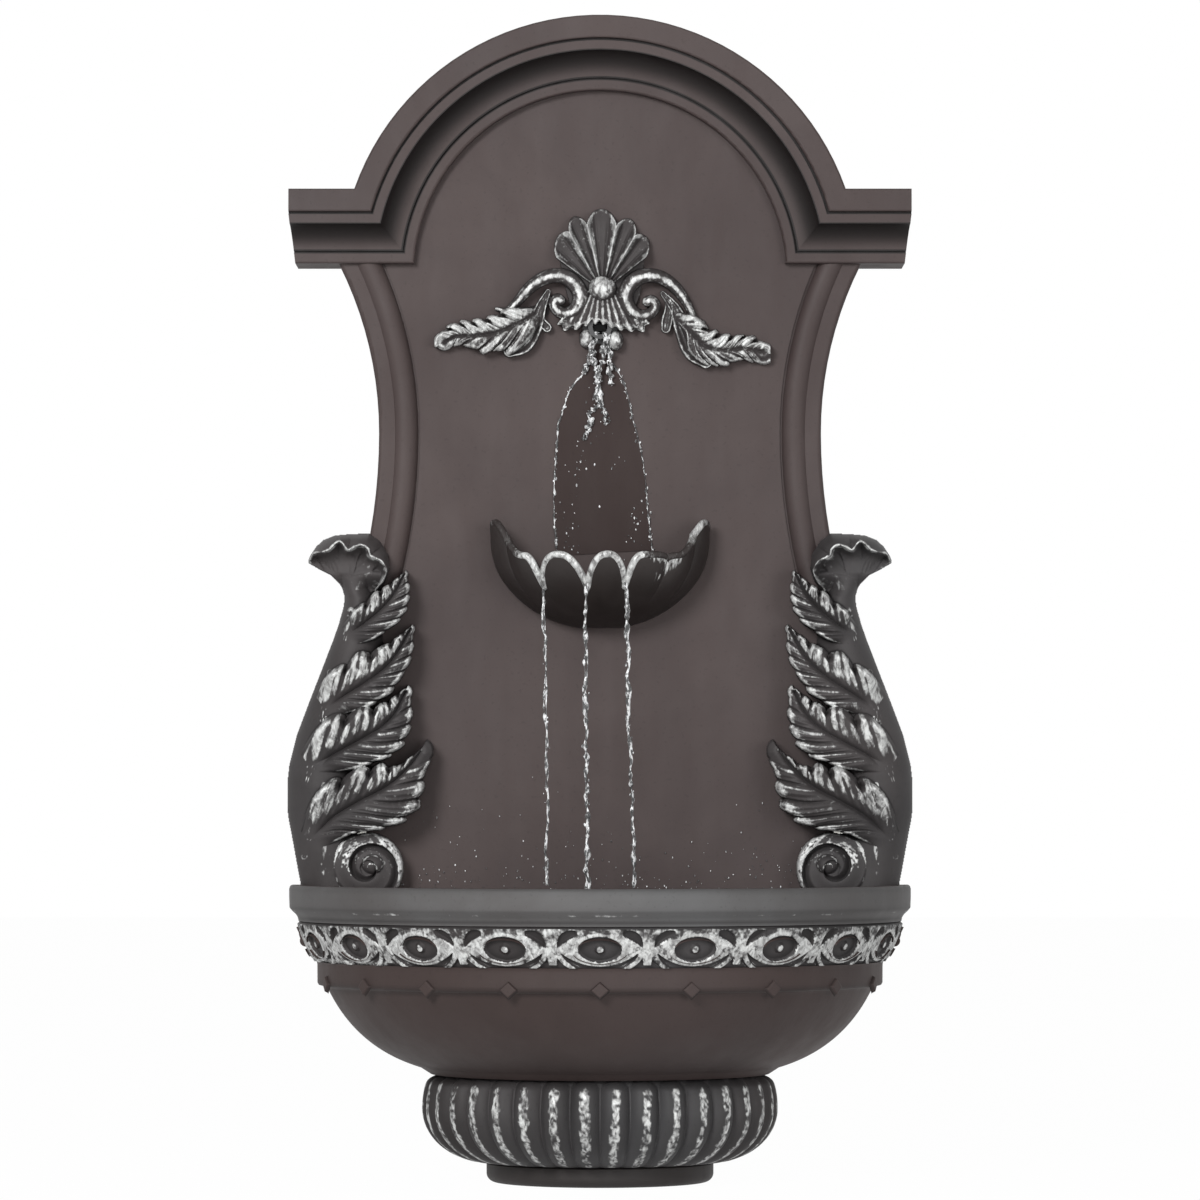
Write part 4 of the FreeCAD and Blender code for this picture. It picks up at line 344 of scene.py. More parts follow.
finishes = {
    "antiqued_resin": panel_finish,
    "silvered_resin": carved_finish,
    "basin_resin": bowl_finish,
    "zinc_steel": fitting_finish("zinc_plate", (0.62, 0.62, 0.58), 0.36, 1.0, 90.0),
    "black_plastic": fitting_finish("black_moulding", (0.022, 0.022, 0.023), 0.42),
    "clear_vinyl": fitting_finish("clear_tube", (0.86, 0.90, 0.90), 0.18, 0.0, 40.0, 0.00001, 0.85, 0.04),
    "black_rubber": fitting_finish("black_rubber", (0.026, 0.026, 0.027), 0.72, 0.0, 500.0, 0.00004),
    "pump_plastic": fitting_finish("pump_black", (0.030, 0.031, 0.034), 0.38, 0.0, 700.0, 0.00003),
    "shaft_ceramic": fitting_finish("white_ceramic", (0.82, 0.81, 0.78), 0.22),
    "magnet": fitting_finish("dark_ferrite", (0.060, 0.060, 0.062), 0.50, 0.35, 500.0),
    "impeller_plastic": fitting_finish("pale_moulding", (0.62, 0.63, 0.61), 0.40),
}
slots = {part["node"]: part["material_slot"] for part in frame["record"]["subparts"]}
for node_name, node_object in frame["nodes"].items():
    node_object.data.materials.clear()
    # The foot gets its darker copy of the basin resin, as painted shade.
    node_object.data.materials.append(foot_shaded_finish if node_name == "foot" else finishes[slots[node_name]])
print("finished nodes:", len(slots))

# %% [markdown]
# A carved surface starts as a grid of points: rows run one way over the carving and
# columns the other. One helper turns grids into a mesh. Another one finds how far each
# point stands out of its neighbourhood, by smoothing the mesh many times and measuring
# how much the point drops: that is just where a dry brush touches. The same measure the
# other way round finds the recesses, which get painted shade. Weights could be painted
# by hand instead, but the measure follows every change of the carving by itself.

# %% Mesh helpers

def grid_faces(rows, columns):
    at = np.arange(rows * columns).reshape(rows, columns)
    quads = np.stack([at[:-1, :-1], at[:-1, 1:], at[1:, 1:], at[1:, :-1]], axis=-1)
    return quads.reshape(-1, 4)


def carve(name, grids, finish, body="root", replaces=(), flip=False, paint=1.0, rounds=14, scale=1.1):
    """Make one piece of several grids of points in millimetres, with its brush values and the painted shade of
    its hollows.

    A grid is an array of points, or that with a mark for each point and which points to keep.
    """
    points = []
    faces = []
    start = 0
    marks = []
    for grid in grids:
        grid, mark, keep = grid if isinstance(grid, tuple) else (grid, 0.0, True)
        rows, columns = grid.shape[:2]
        marks.append(np.broadcast_to(mark, (rows, columns)).ravel())
        points.append(grid.reshape(-1, 3))
        made = grid_faces(rows, columns)
        keep = np.broadcast_to(keep, (rows, columns)).ravel()
        faces.append(made[keep[made].any(axis=1)] + start)
        start += rows * columns
    points = np.concatenate(points)
    marks = np.concatenate(marks)
    used, faces = np.unique(np.concatenate(faces), return_inverse=True)
    faces = faces.reshape(-1, 4)
    points, marks = points[used], marks[used]
    if flip:
        faces = faces[:, ::-1]
    mesh = bpy.data.meshes.new(name)
    mesh.vertices.add(len(points))
    mesh.vertices.foreach_set("co", (points * MM).ravel())
    mesh.loops.add(len(faces) * 4)
    mesh.loops.foreach_set("vertex_index", faces.ravel())
    mesh.polygons.add(len(faces))
    mesh.polygons.foreach_set("loop_start", np.arange(len(faces)) * 4)
    mesh.update(calc_edges=True)
    mesh.validate()
    mesh.polygons.foreach_set("use_smooth", np.ones(len(mesh.polygons), bool))
    mesh.update()
    mark_relief(mesh, rounds, scale, paint, marks)
    piece = bpy.data.objects.new(name, mesh)
    bpy.context.scene.collection.objects.link(piece)
    mesh.materials.append(finish)
    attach(piece, body)
    if replaces:
        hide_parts(*replaces)
    print("%-16s %6d points" % (name, len(points)))


def mark_relief(mesh, rounds, scale, paint, marks):
    """Store how far each point stands out (brush) or lies in (painted shade), from 0 to 1.

    A mark above 0 adds paint to a point, one below 0 takes it away and one below -1 adds painted shade to it.
    """
    count = len(mesh.vertices)
    spots = np.empty(count * 3)
    mesh.vertices.foreach_get("co", spots)
    spots = spots.reshape(-1, 3)
    normals = np.empty(count * 3)
    mesh.vertex_normals.foreach_get("vector", normals)
    normals = normals.reshape(-1, 3)
    edges = np.empty(len(mesh.edges) * 2, int)
    mesh.edges.foreach_get("vertices", edges)
    a, b = edges.reshape(-1, 2).T
    degree = np.maximum(np.bincount(a, minlength=count) + np.bincount(b, minlength=count), 1)
    soft = spots.copy()
    for _ in range(rounds):
        total = np.empty_like(soft)
        for axis in range(3):
            column = soft[:, axis]
            total[:, axis] = np.bincount(a, column[b], count) + np.bincount(b, column[a], count)
        soft = 0.5 * soft + 0.5 * total / degree[:, None]
    stand = np.einsum("ij,ij->i", spots - soft, normals) / (scale * MM)
    brush = mesh.attributes.new("brush", "FLOAT", "POINT")
    brush.data.foreach_set("value", np.clip(np.clip(stand, 0, 1) * paint + marks, 0, 1))
    recess_shade = mesh.attributes.new("recess_shade", "FLOAT", "POINT")
    recess_shade.data.foreach_set("value", np.clip(np.maximum(-stand, -1 - marks), 0, 1))


print("carving helpers ready")

# %% [markdown]
# The reliefs below are sums of soft steps and smooth random values. Both are worked out in
# Python once, so they give the same carving on each run. Lines are given by a few points
# and rounded by a cubic curve, and the basin and pendant are turned about one upright axis.

# %% Steps, speckle, lines and turning

def blend_steps(value, low, high):
    """0 below low, 1 above high and a soft step from one to the other."""
    share = np.clip((value - low) / (high - low), 0, 1)
    return share * share * (3 - 2 * share)


def speckle(u, v, seed):
    """Smooth random values from 0 to 1 over two coordinates, the same on each run."""
    table = np.random.default_rng(seed).random((64, 64))
    u, v = np.broadcast_arrays(u, v)
    iu, iv = np.floor(u).astype(int), np.floor(v).astype(int)
    fu, fv = u - iu, v - iv
    fu, fv = fu * fu * (3 - 2 * fu), fv * fv * (3 - 2 * fv)
    first = table[iu % 64, iv % 64] * (1 - fu) + table[(iu + 1) % 64, iv % 64] * fu
    second = table[iu % 64, (iv + 1) % 64] * (1 - fu) + table[(iu + 1) % 64, (iv + 1) % 64] * fu
    return first * (1 - fv) + second * fv


def smooth_line(points, count):
    """Evenly spaced points on a smooth curve through the given ones."""
    points = np.asarray(points, float)
    steps = np.linalg.norm(np.diff(points, axis=0), axis=1)
    at = np.concatenate([[0], np.cumsum(steps)])
    fine = np.linspace(0, at[-1], count)
    before = np.concatenate([2 * points[:1] - points[1:2], points, 2 * points[-1:] - points[-2:-1]])
    slopes = (before[2:] - before[:-2]) * 0.5
    spans = np.diff(at)
    index = np.clip(np.searchsorted(at, fine, side="right") - 1, 0, len(points) - 2)
    share = ((fine - at[index]) / spans[index])[:, None]
    mean = np.concatenate([spans[:1], (spans[1:] + spans[:-1]) * 0.5, spans[-1:]])
    p0, p1 = points[index], points[index + 1]
    m0 = slopes[index] * (spans[index] / mean[index])[:, None]
    m1 = slopes[index + 1] * (spans[index] / mean[index + 1])[:, None]
    s2, s3 = share ** 2, share ** 3
    return (2 * s3 - 3 * s2 + 1) * p0 + (s3 - 2 * s2 + share) * m0 + (3 * s2 - 2 * s3) * p1 + (s3 - s2) * m1


def turned(radius, angle, height):
    """Points at an angle from straight out of the wall, in degrees, at a radius and a height."""
    radius, angle, height = np.broadcast_arrays(radius, np.radians(angle), height)
    return np.stack([radius * np.sin(angle), -radius * np.cos(angle), height], axis=-1)


print("turning helpers ready, a soft step half way:", blend_steps(0.5, 0.0, 1.0))

# %% [markdown]
# The basin is half of a turned bowl. Its frieze is a row of eyes, one every eighteen
# degrees: an oval with a bead in it, held by a band, with crescents cut above and below and
# a small dart between two eyes. It could be cut out of the bowl with booleans. Here it is
# worked out as a height over the frieze, from a few ovals, because a height is easy to
# soften, wear and paint.

# %% Frieze
RIM_RADIUS, RIM_TOP, RIM_FOOT = 210.95, 201.0, 183.0
FRIEZE_TOP, FRIEZE_FOOT, MOULDING_FOOT, BASIN_FOOT = 176.7, 149.5, 133.0, 73.2
FRIEZE_RADIUS, FRIEZE_LEAN, MOULDING_RADIUS = 204.6, 12.0, 191.7
EYE_PITCH = 18.0  # degrees
EYE_LEVEL = 162.6
EYE_HALF_WIDTH, EYE_HALF_HEIGHT = 14.0, 8.3
DART_PLACE = 31.4  # half way to the next eye
BEAD_RADIUS, BEAD_RISE = 3.3, 2.3
CARVING_DEPTH = 2.7


def frieze_height(x, z):
    """Height in mm of the frieze's carving, x from the middle of the nearest eye."""
    x = np.abs(x)
    lens_half = 11.2 * np.clip(1 - (x / 27.5) ** 2, 0, 1) ** 0.85
    lens = blend_steps(lens_half - np.abs(z), -0.35, 0.45)
    inner = np.sqrt((x / EYE_HALF_WIDTH) ** 2 + (z / EYE_HALF_HEIGHT) ** 2)
    top = blend_steps(z, 0.0, 1.2)
    crescent = blend_steps(9.4 - np.hypot(x - 18.0, z - 3.2), -0.3, 0.5) * blend_steps(z - lens_half, 0.2, 1.1)
    crescent = crescent * blend_steps(x, 14.0, 16.0)
    band = blend_steps(2.1 - np.abs(z + 0.6), -0.3, 0.5)
    swag_in = np.sqrt((x / 25.0) ** 2 + (z / 14.8) ** 2)
    swag_out = np.sqrt((x / 30.0) ** 2 + (z / 17.5) ** 2)
    swag = blend_steps(swag_in, 0.98, 1.03) * blend_steps(-swag_out, -1.02, -0.97) * blend_steps(x, 9.0, 15.0)
    swag = swag * blend_steps(-z, 0.0, 1.5)
    dart_half = 4.6 - 0.16 * np.abs(z)
    dart = blend_steps(dart_half - (DART_PLACE - x), -0.3, 0.5)
    dart = dart * blend_steps(z, -11.0, -10.0) * blend_steps(-z, -1.0, 0.0)
    lower_edge = blend_steps(-z, 12.4, 14.0) * 0.75
    upper = np.maximum(top * (1 - crescent), 0)
    height = np.zeros(np.broadcast(x, z).shape)
    for raised in (lens, upper, band * blend_steps(x, 22, 26), swag * 0.9, dart * 0.95, lower_edge):
        height = np.maximum(height, raised)
    height = height * (1 - blend_steps(-inner, -1.03, -0.93) * 0.95)
    bead = np.clip(1 - (x ** 2 + z ** 2) / BEAD_RADIUS ** 2, 0, 1) ** 0.5 * BEAD_RISE
    pillow = 0.35 * np.clip(1 - inner ** 2, 0, 1)
    return CARVING_DEPTH * height + bead + pillow


print("frieze height at a bead, in mm: %.2f" % frieze_height(0.0, 0.0))

# %% [markdown]
# The rim and the lower bowl are outlines turned half way round. A Screw modifier could do
# that. Here the points are worked out directly, since the frieze between them, which leans
# in towards its foot, needs a grid of its own and has to meet them without a gap.

# %% Basin outline
BOWL_TOP_RADIUS, BOWL_FOOT_RADIUS, BOWL_FOOT_HEIGHT, BOWL_BULGE = 185.6, 122.0, 77.7, 9.6


def basin_side():
    """Radius and height down the outside: the rim, and then all below the frieze."""
    rim = [(208.3, RIM_TOP), (210.3, RIM_TOP - 0.7), (RIM_RADIUS, RIM_TOP - 2.6), (RIM_RADIUS, 193.0),
           (RIM_RADIUS - 0.3, RIM_FOOT + 2.6), (RIM_RADIUS - 2.2, RIM_FOOT + 0.4),
           (206.4, RIM_FOOT - 1.8), (205.0, 179.0), (FRIEZE_RADIUS, FRIEZE_TOP)]
    bowl = []
    for share in np.linspace(0, 1, 40):
        r = BOWL_TOP_RADIUS + (BOWL_FOOT_RADIUS - BOWL_TOP_RADIUS) * share
        z = MOULDING_FOOT + (BOWL_FOOT_HEIGHT - MOULDING_FOOT) * share
        bulge = BOWL_BULGE * 4 * share * (1 - share)
        bowl.append((r + bulge * 0.656, z - bulge * 0.755))
    moulding = [(192.6, FRIEZE_FOOT), (192.0, 148.6), (191.8, 147.0),
                (MOULDING_RADIUS, 135.0), (190.9, 133.6), (188.6, 133.0)]
    return rim, moulding + bowl + [(115.0, BASIN_FOOT)]


def turned_strip(line, columns=241):
    """The grid that an outline makes when it is turned half way round."""
    return turned(line[:, :1], np.linspace(-90, 90, columns)[None, :], line[:, 1:])


def densify(line, step):
    """The same outline with a point at least every step."""
    line = np.asarray(line, float)
    out = [line[0]]
    for a, b in zip(line, line[1:]):
        parts = max(1, int(np.linalg.norm(b - a) / step))
        out += [a + (b - a) * (k + 1) / parts for k in range(parts)]
    return np.array(out)


rim_line, foot_line = basin_side()
rim_strip = turned_strip(densify(rim_line, 1.6))
foot_strip = turned_strip(densify(foot_line, 2.2))
print("rim grid:", rim_strip.shape, "lower bowl grid:", foot_strip.shape)

# %% [markdown]
# Each point of the frieze's grid knows how far it is from the middle of the nearest eye.
# The carving fades out over the first and last rows, so that it meets the plain edges.

# %% Frieze's grid
MIDDLE_RADIUS = 199.0  # where distances along the frieze are measured

rows, columns = 62, 1261
levels = np.linspace(FRIEZE_TOP, FRIEZE_FOOT, rows)
angles = np.linspace(-90, 90, columns)
share = (FRIEZE_TOP - levels) / (FRIEZE_TOP - FRIEZE_FOOT)
ground = FRIEZE_RADIUS - FRIEZE_LEAN * share + 1.2 * 4 * share * (1 - share)
offset = (angles + 0.5 * EYE_PITCH) % EYE_PITCH - 0.5 * EYE_PITCH
across = np.radians(offset)[None, :] * MIDDLE_RADIUS
carving = frieze_height(across, (levels - EYE_LEVEL)[:, None])
row = np.arange(rows)
fade = np.minimum(blend_steps(row, 0, 2), blend_steps(rows - 1 - row, 0, 2))[:, None]
carving = carving * fade
tilt = math.atan2(FRIEZE_LEAN, FRIEZE_TOP - FRIEZE_FOOT)
frieze = turned(ground[:, None] - 1.4 + carving * math.cos(tilt), angles[None, :],
                levels[:, None] - carving * math.sin(tilt))
print("frieze grid:", frieze.shape)

# %% [markdown]
# The inside of the basin, its ledge and its hollow back are right in the frame already.
# They are copied into a new mesh without the outer skin, which the carved pieces replace.
# Modelling them again would gain nothing and could leave a gap at the back.

# %% Keeping a node's inner surface

def keep_inside(node, drop):
    """Copy a node's surface without the faces for which drop(centres, normals) is true."""
    source = frame["nodes"][node].data
    spots = np.empty(len(source.vertices) * 3)
    source.vertices.foreach_get("co", spots)
    spots = spots.reshape(-1, 3) / MM
    source.calc_loop_triangles()
    triangles = np.empty(len(source.loop_triangles) * 3, int)
    source.loop_triangles.foreach_get("vertices", triangles)
    triangles = triangles.reshape(-1, 3)
    centres = spots[triangles].mean(axis=1)
    first, second, third = (spots[triangles[:, corner]] for corner in range(3))
    normals = np.cross(second - first, third - first)
    normals = normals / np.maximum(np.linalg.norm(normals, axis=1), 1e-9)[:, None]
    triangles = triangles[~drop(centres, normals)]
    mesh = bpy.data.meshes.new(node + "_kept")
    mesh.from_pydata((spots * MM).tolist(), [], triangles.tolist())
    mesh.update()
    return mesh


def add_kept(name, mesh, finish, replaces):
    """Put a kept surface in the scene in place of its node."""
    piece = bpy.data.objects.new(name, mesh)
    bpy.context.scene.collection.objects.link(piece)
    mesh.materials.append(finish)
    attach(piece, "root")
    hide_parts(*replaces)
    print("%-16s %6d points" % (name, len(mesh.vertices)))


def facing_out(centres, normals):
    """The distance from the upright axis, and how much a face looks away from that axis."""
    radius = np.hypot(centres[:, 0], centres[:, 1])
    outward = (normals[:, 0] * centres[:, 0] + normals[:, 1] * centres[:, 1]) / np.maximum(radius, 1)
    return radius, outward


def basin_outside(centres, normals):
    radius, outward = facing_out(centres, normals)
    level = centres[:, 2]
    skin = (centres[:, 1] < -0.05) & (level > BASIN_FOOT + 0.1) & (outward > -0.2)
    profile = np.interp(level, [73, 78, 90, 105, 120, 132.9, 133.1, 149.4, 149.6, 176.7, 183, 201.1],
                        [113, 120, 141, 163, 178, 184, 188, 190, 190, 202, 204, 205])
    inner_lip = (level > 200.5) & (radius < 207.9)
    return skin & (radius > profile - 0.8) & ~inner_lip


add_kept("basin_inside", keep_inside("basin", basin_outside), bowl_finish, ("basin",))

# %% [markdown]
# The frieze carries the most paint of all. It is thick on the rings round the eyes and the
# darts, patchy between them, thin in the band above, and smeared along the foot at the far
# left. Its cut-back ground gets painted shade. The rim has only a few touches along its
# lower edge, over a line of painted shade in the step under it.

# %% Basin's outside
mottle = speckle(angles[None, :] * 0.9, levels[:, None] * 0.35, 8) * 0.6
mottle = mottle + speckle(angles[None, :] * 2.6, levels[:, None] * 0.9, 9) * 0.5
eye = np.sqrt((across / EYE_HALF_WIDTH) ** 2 + ((levels - EYE_LEVEL)[:, None] / EYE_HALF_HEIGHT) ** 2)
ring = np.exp(-((eye - 1.16) / 0.13) ** 2) * blend_steps(carving, 1.2, 2.2)
upper_band = blend_steps(levels[:, None], 167.5, 172.5)
smear = blend_steps(-angles[None, :], 40, 52) * blend_steps(-levels[:, None], -154.5, -151.0)
raised = blend_steps(carving, 1.7, 2.6) * (0.24 + 1.15 * mottle) * (1 - 0.34 * upper_band)
# Painted shade: the frieze's cut-back ground, above its lower edge, is darkened.
frieze_ground_shade = 1.5 * blend_steps(-carving, -0.7, -0.2) * blend_steps(levels[:, None], 152.5, 154)
frieze_paint = raised + ring * (0.15 + 0.85 * mottle) + smear * (1.4 * mottle - 0.1) - 0.08 - frieze_ground_shade
carve("basin_frieze", [(frieze, frieze_paint, True)], carved_finish, paint=0.6, rounds=10, scale=0.5)
level = rim_strip[..., 2]
run = np.arange(rim_strip.shape[1])[None, :]
rim_paint = np.exp(-((level - RIM_FOOT - 0.8) / 1.1) ** 2) * (1.6 * speckle(run * 0.30, level * 0.8, 15) - 0.75)
# Painted shade: a dark line in the step under the rim.
rim_paint = rim_paint - 2.0 * np.exp(-((level - 178.6) / 1.6) ** 2)
carve("basin_rim", [(rim_strip, rim_paint, True)], rim_finish, paint=0.3, rounds=6, scale=1.4)
carve("basin_side", [foot_strip], bowl_finish, paint=0.3, rounds=6, scale=1.4)

# %% [markdown]
# A small bevelled lozenge sits on the lower edge of the moulding under each eye. Turned
# cubes would do for the shape. A grid set on its corner also bends round the bowl, and each
# of its points knows how near the foot it is, and the foot gets painted shade.

# %% Lozenges
LOZENGE_WIDTH, LOZENGE_HEIGHT = 7.4, 6.6


def lozenge(angle):
    side = np.linspace(-1, 1, 23)
    a, b = np.meshgrid(side, side)
    x = (a - b) * 0.5 * LOZENGE_WIDTH
    z = (a + b) * 0.5 * LOZENGE_HEIGHT
    out = np.maximum(np.abs(a), np.abs(b))
    height = 2.6 * (1 - blend_steps(out, 0.70, 0.92)) - 0.5
    spots = turned(MOULDING_RADIUS + height, angle + np.degrees(x / MOULDING_RADIUS), MOULDING_FOOT + 2.2 + z)
    # Painted shade: the bevel round each lozenge's foot is darkened.
    return spots, -2.2 * blend_steps(out, 0.72, 0.86), True


lozenges = [lozenge(number * EYE_PITCH) for number in range(-4, 5)]
carve("basin_diamonds", lozenges, bowl_finish, rounds=3, scale=1.0, paint=0.0)

# %% [markdown]
# Under the basin hangs a cushion of eighteen gadroons, which are fat vertical ribs with
# round ends. One rib could be modelled and repeated by an Array modifier. As one grid they
# need no seams: each rib is a bulge whose height falls off from its crest by a power of the
# distance, and near the ends that distance grows, which rounds them off.

# %% Gadroons
GADROONS, GADROON_DEPTH = 18, 6.5
PENDANT_FOOT, PENDANT_TOP = 13.5, 73.2
HEM_RADIUS, HEM_WIDTH, HEM_HEIGHT = 77.0, 43.8, 36.5
NECK_RADIUS, NECK_WIDTH, NECK_HEIGHT, NECK_TURN = 113.0, 7.8, 23.2, math.radians(84)
LOW_END, HIGH_END = 11.0, 9.0  # how far from the ends the ribs begin to round off


def pendant_line(count):
    """Radius and height up the pendant's side: a quarter round below and a part of one above."""
    radii = []
    heights = []
    for turn in np.radians(np.linspace(3, 90, count)):
        radii.append(HEM_RADIUS + HEM_WIDTH * math.sin(turn))
        heights.append(PENDANT_FOOT + HEM_HEIGHT * (1 - math.cos(turn)))
    for turn in np.linspace(0, NECK_TURN, count)[1:]:
        radii.append(NECK_RADIUS + NECK_WIDTH * math.cos(turn))
        heights.append(PENDANT_FOOT + HEM_HEIGHT + NECK_HEIGHT * math.sin(turn) / math.sin(NECK_TURN))
    return np.array(radii), np.array(heights)


radii, heights = pendant_line(40)
columns = GADROONS * 26 + 1
angles = np.linspace(-90, 90, columns)
cell = np.abs(((angles + 90) / (180 / GADROONS)) % 1.0 * 2 - 1)
length = np.concatenate([[0], np.cumsum(np.hypot(np.diff(radii), np.diff(heights)))])
beyond = np.maximum(LOW_END - length, 0) / LOW_END + np.maximum(length - (length[-1] - HIGH_END), 0) / HIGH_END
spread = np.sqrt(cell[None, :] ** 2 + beyond[:, None] ** 2)
sink = GADROON_DEPTH * np.minimum(spread, 1.0) ** 2.6
gadroons = turned(radii[:, None] - sink, angles[None, :], heights[:, None])
print("pendant grid:", gadroons.shape)

# %% [markdown]
# Each gadroon has one streak of paint down its crest, ragged at its sides and gone before
# the ends. The plain ring above and the hollow inside are the frame's own surface.

# %% Pendant

def pendant_outside(centres, normals):
    radius, outward = facing_out(centres, normals)
    below_ring = centres[:, 2] < PENDANT_TOP - 0.1
    return (radius > 75) & (outward > 0.02) & (centres[:, 1] < -0.05) & below_ring


add_kept("pendant_inside", keep_inside("pendant", pendant_outside), bowl_finish, ("pendant",))
half_width = 0.37 + 0.30 * (speckle(angles[None, :] * 0.35, length[:, None] * 0.16, 3) - 0.5)
strip = np.exp(-(cell[None, :] / half_width) ** 4)
ends = blend_steps(length, 5, 10) * blend_steps(-length, -length[-1] + 3.5, -length[-1] + 9)
broken = 0.60 + 0.75 * (speckle(angles[None, :] * 1.4, length[:, None] * 0.5, 4) - 0.35)
rib_paint = strip * ends[:, None] * broken - 0.1
carve("pendant_ribs", [(gadroons, rib_paint, True)], carved_finish, paint=0.35, rounds=26, scale=1.4, flip=True)

# %% [markdown]
# The carved pieces are drawn in the picture's own pixels, with a depth in front of the
# wall, so that they can be compared with the photograph directly. The camera is known, so
# a pixel and a depth give one place in the frame. A relief is a height over such places:
# several forms are laid over each other, the highest wins, and the result becomes a grid.

# %% Places in the picture
PIXELS_PER_MM = 1.469  # on the wall
CAMERA_MM, EYE_HEIGHT_MM = CAMERA_DISTANCE / MM, round(CAMERA_HEIGHT / MM, 1)
MIDDLE_PIXEL, HORIZON_PIXEL = 600.0, 800.0
ORNAMENT_BACK = 34.3  # depth of the panel's field, in mm


def drawn(points):
    """Turn picture places (x, y in pixels, depth in mm) into places in the frame, in mm."""
    points = np.asarray(points, float)
    depth = points[..., 2]
    size = (CAMERA_MM - depth) / CAMERA_MM / PIXELS_PER_MM
    across = (points[..., 0] - MIDDLE_PIXEL) * size
    up = EYE_HEIGHT_MM + (HORIZON_PIXEL - points[..., 1]) * size
    return np.stack([across, -depth, up], axis=-1)


def unit(vectors):
    return vectors / np.maximum(np.linalg.norm(vectors, axis=-1, keepdims=True), 1e-9)


def tube(line, radii, around):
    """A round bar along a line, with a radius at each point, as a grid."""
    ahead = unit(np.gradient(line, axis=0))
    side = unit(np.cross(ahead, np.array([0.0, -1.0, 0.0])))
    up = np.cross(side, ahead)
    turn = np.linspace(0, 2 * math.pi, around + 1)[None, :, None]
    radii = np.broadcast_to(np.asarray(radii, float), (len(line),))[:, None, None]
    return line[:, None] + radii * (side[:, None] * np.cos(turn) + up[:, None] * np.sin(turn))


def flipped(grid):
    """The same grid with its faces the other way round."""
    return tuple(part[::-1] for part in grid) if isinstance(grid, tuple) else grid[::-1]


def mirror_grid(grid):
    points, mark, keep = grid
    return (points * np.array([-1.0, 1.0, 1.0]))[::-1], mark[::-1], keep[::-1]


def nearest_on(line, x, y):
    """For each place: the share along a line, the distance from it and the side, -1 or 1."""
    line = np.asarray(line, float)[:, :2]
    at = np.concatenate([[0], np.cumsum(np.linalg.norm(np.diff(line, axis=0), axis=1))])
    best = np.full(np.shape(x), 1e9)
    share = np.zeros(np.shape(x))
    side = np.ones(np.shape(x))
    for (ax, ay), (bx, by), start, end in zip(line, line[1:], at, at[1:]):
        dx, dy = bx - ax, by - ay
        along = np.clip(((x - ax) * dx + (y - ay) * dy) / (dx * dx + dy * dy), 0, 1)
        off_x, off_y = x - ax - along * dx, y - ay - along * dy
        distance = np.hypot(off_x, off_y)
        closer = distance < best
        best = np.where(closer, distance, best)
        share = np.where(closer, start + along * (end - start), share)
        side = np.where(closer, np.where(dx * off_y - dy * off_x > 0, 1.0, -1.0), side)
    return share / at[-1], best, side


def within(polygon, x, y):
    """Which places lie inside a closed line of picture points."""
    polygon = np.asarray(polygon, float)[:, :2]
    crossed = np.zeros(np.shape(x), bool)
    for (ax, ay), (bx, by) in zip(polygon, np.roll(polygon, -1, axis=0)):
        if ay != by:
            crossed ^= ((ay > y) != (by > y)) & (x < (bx - ax) * (y - ay) / (by - ay) + ax)
    return crossed


def relief_grid(x, y, height, paint):
    """Turn heights over picture places into a grid; places without height go back to the wall."""
    keep = height > 0
    depth = ORNAMENT_BACK + np.where(keep, height, 0.0)
    return drawn(np.stack([x, y, depth], axis=-1)), paint, keep


def lay_over(height, paint, layers):
    """Put layers of (height, paint) over a ground, so that the highest wins at each place."""
    for layer, layer_paint in layers:
        above = layer > height
        height = np.where(above, layer, height)
        paint = np.where(above, layer_paint, paint)
    return height, paint


def rear_grid(x, y, height, step=3):
    """A flat back for a relief, a little inside its outline."""
    solid = height[::step, ::step] > 0
    inside = solid.copy()
    for rows, columns in ((0, 1), (0, -1), (1, 0), (-1, 0), (1, 1), (-1, -1), (1, -1), (-1, 1)):
        inside &= np.roll(solid, (rows, columns), axis=(0, 1))
    points, mark, _ = relief_grid(x[::step, ::step], y[::step, ::step], np.zeros(solid.shape), 0.0 * solid)
    return points, mark, inside


print("picture's middle on the wall, in mm:", drawn((MIDDLE_PIXEL, MIDDLE_PIXEL, 0.0)).round(1))

# %% [markdown]
# The acanthus leaf is the carver's basic form, so it gets one function. A leaf has a deep
# midrib and two halves. Each half is a row of lobes: every lobe has a finger of raised
# leaf that leaves the midrib forwards and bends outwards to the lobe's tip, with a sharp
# valley between two fingers. The lobes of the upper half roll over towards the viewer and
# have a small sunk pit between two tips, darkened with painted shade. Those of the lower half are flat and
# thin-edged.
# Sculpting by hand would be freer. A function of the places along and beside the midrib can
# be set against the photograph by numbers, and gives each leaf its own length and lobes.

# %% Acanthus leaf
LEAF_LEAN = 1.1  # how far forwards the lobes lean, as a share of their reach


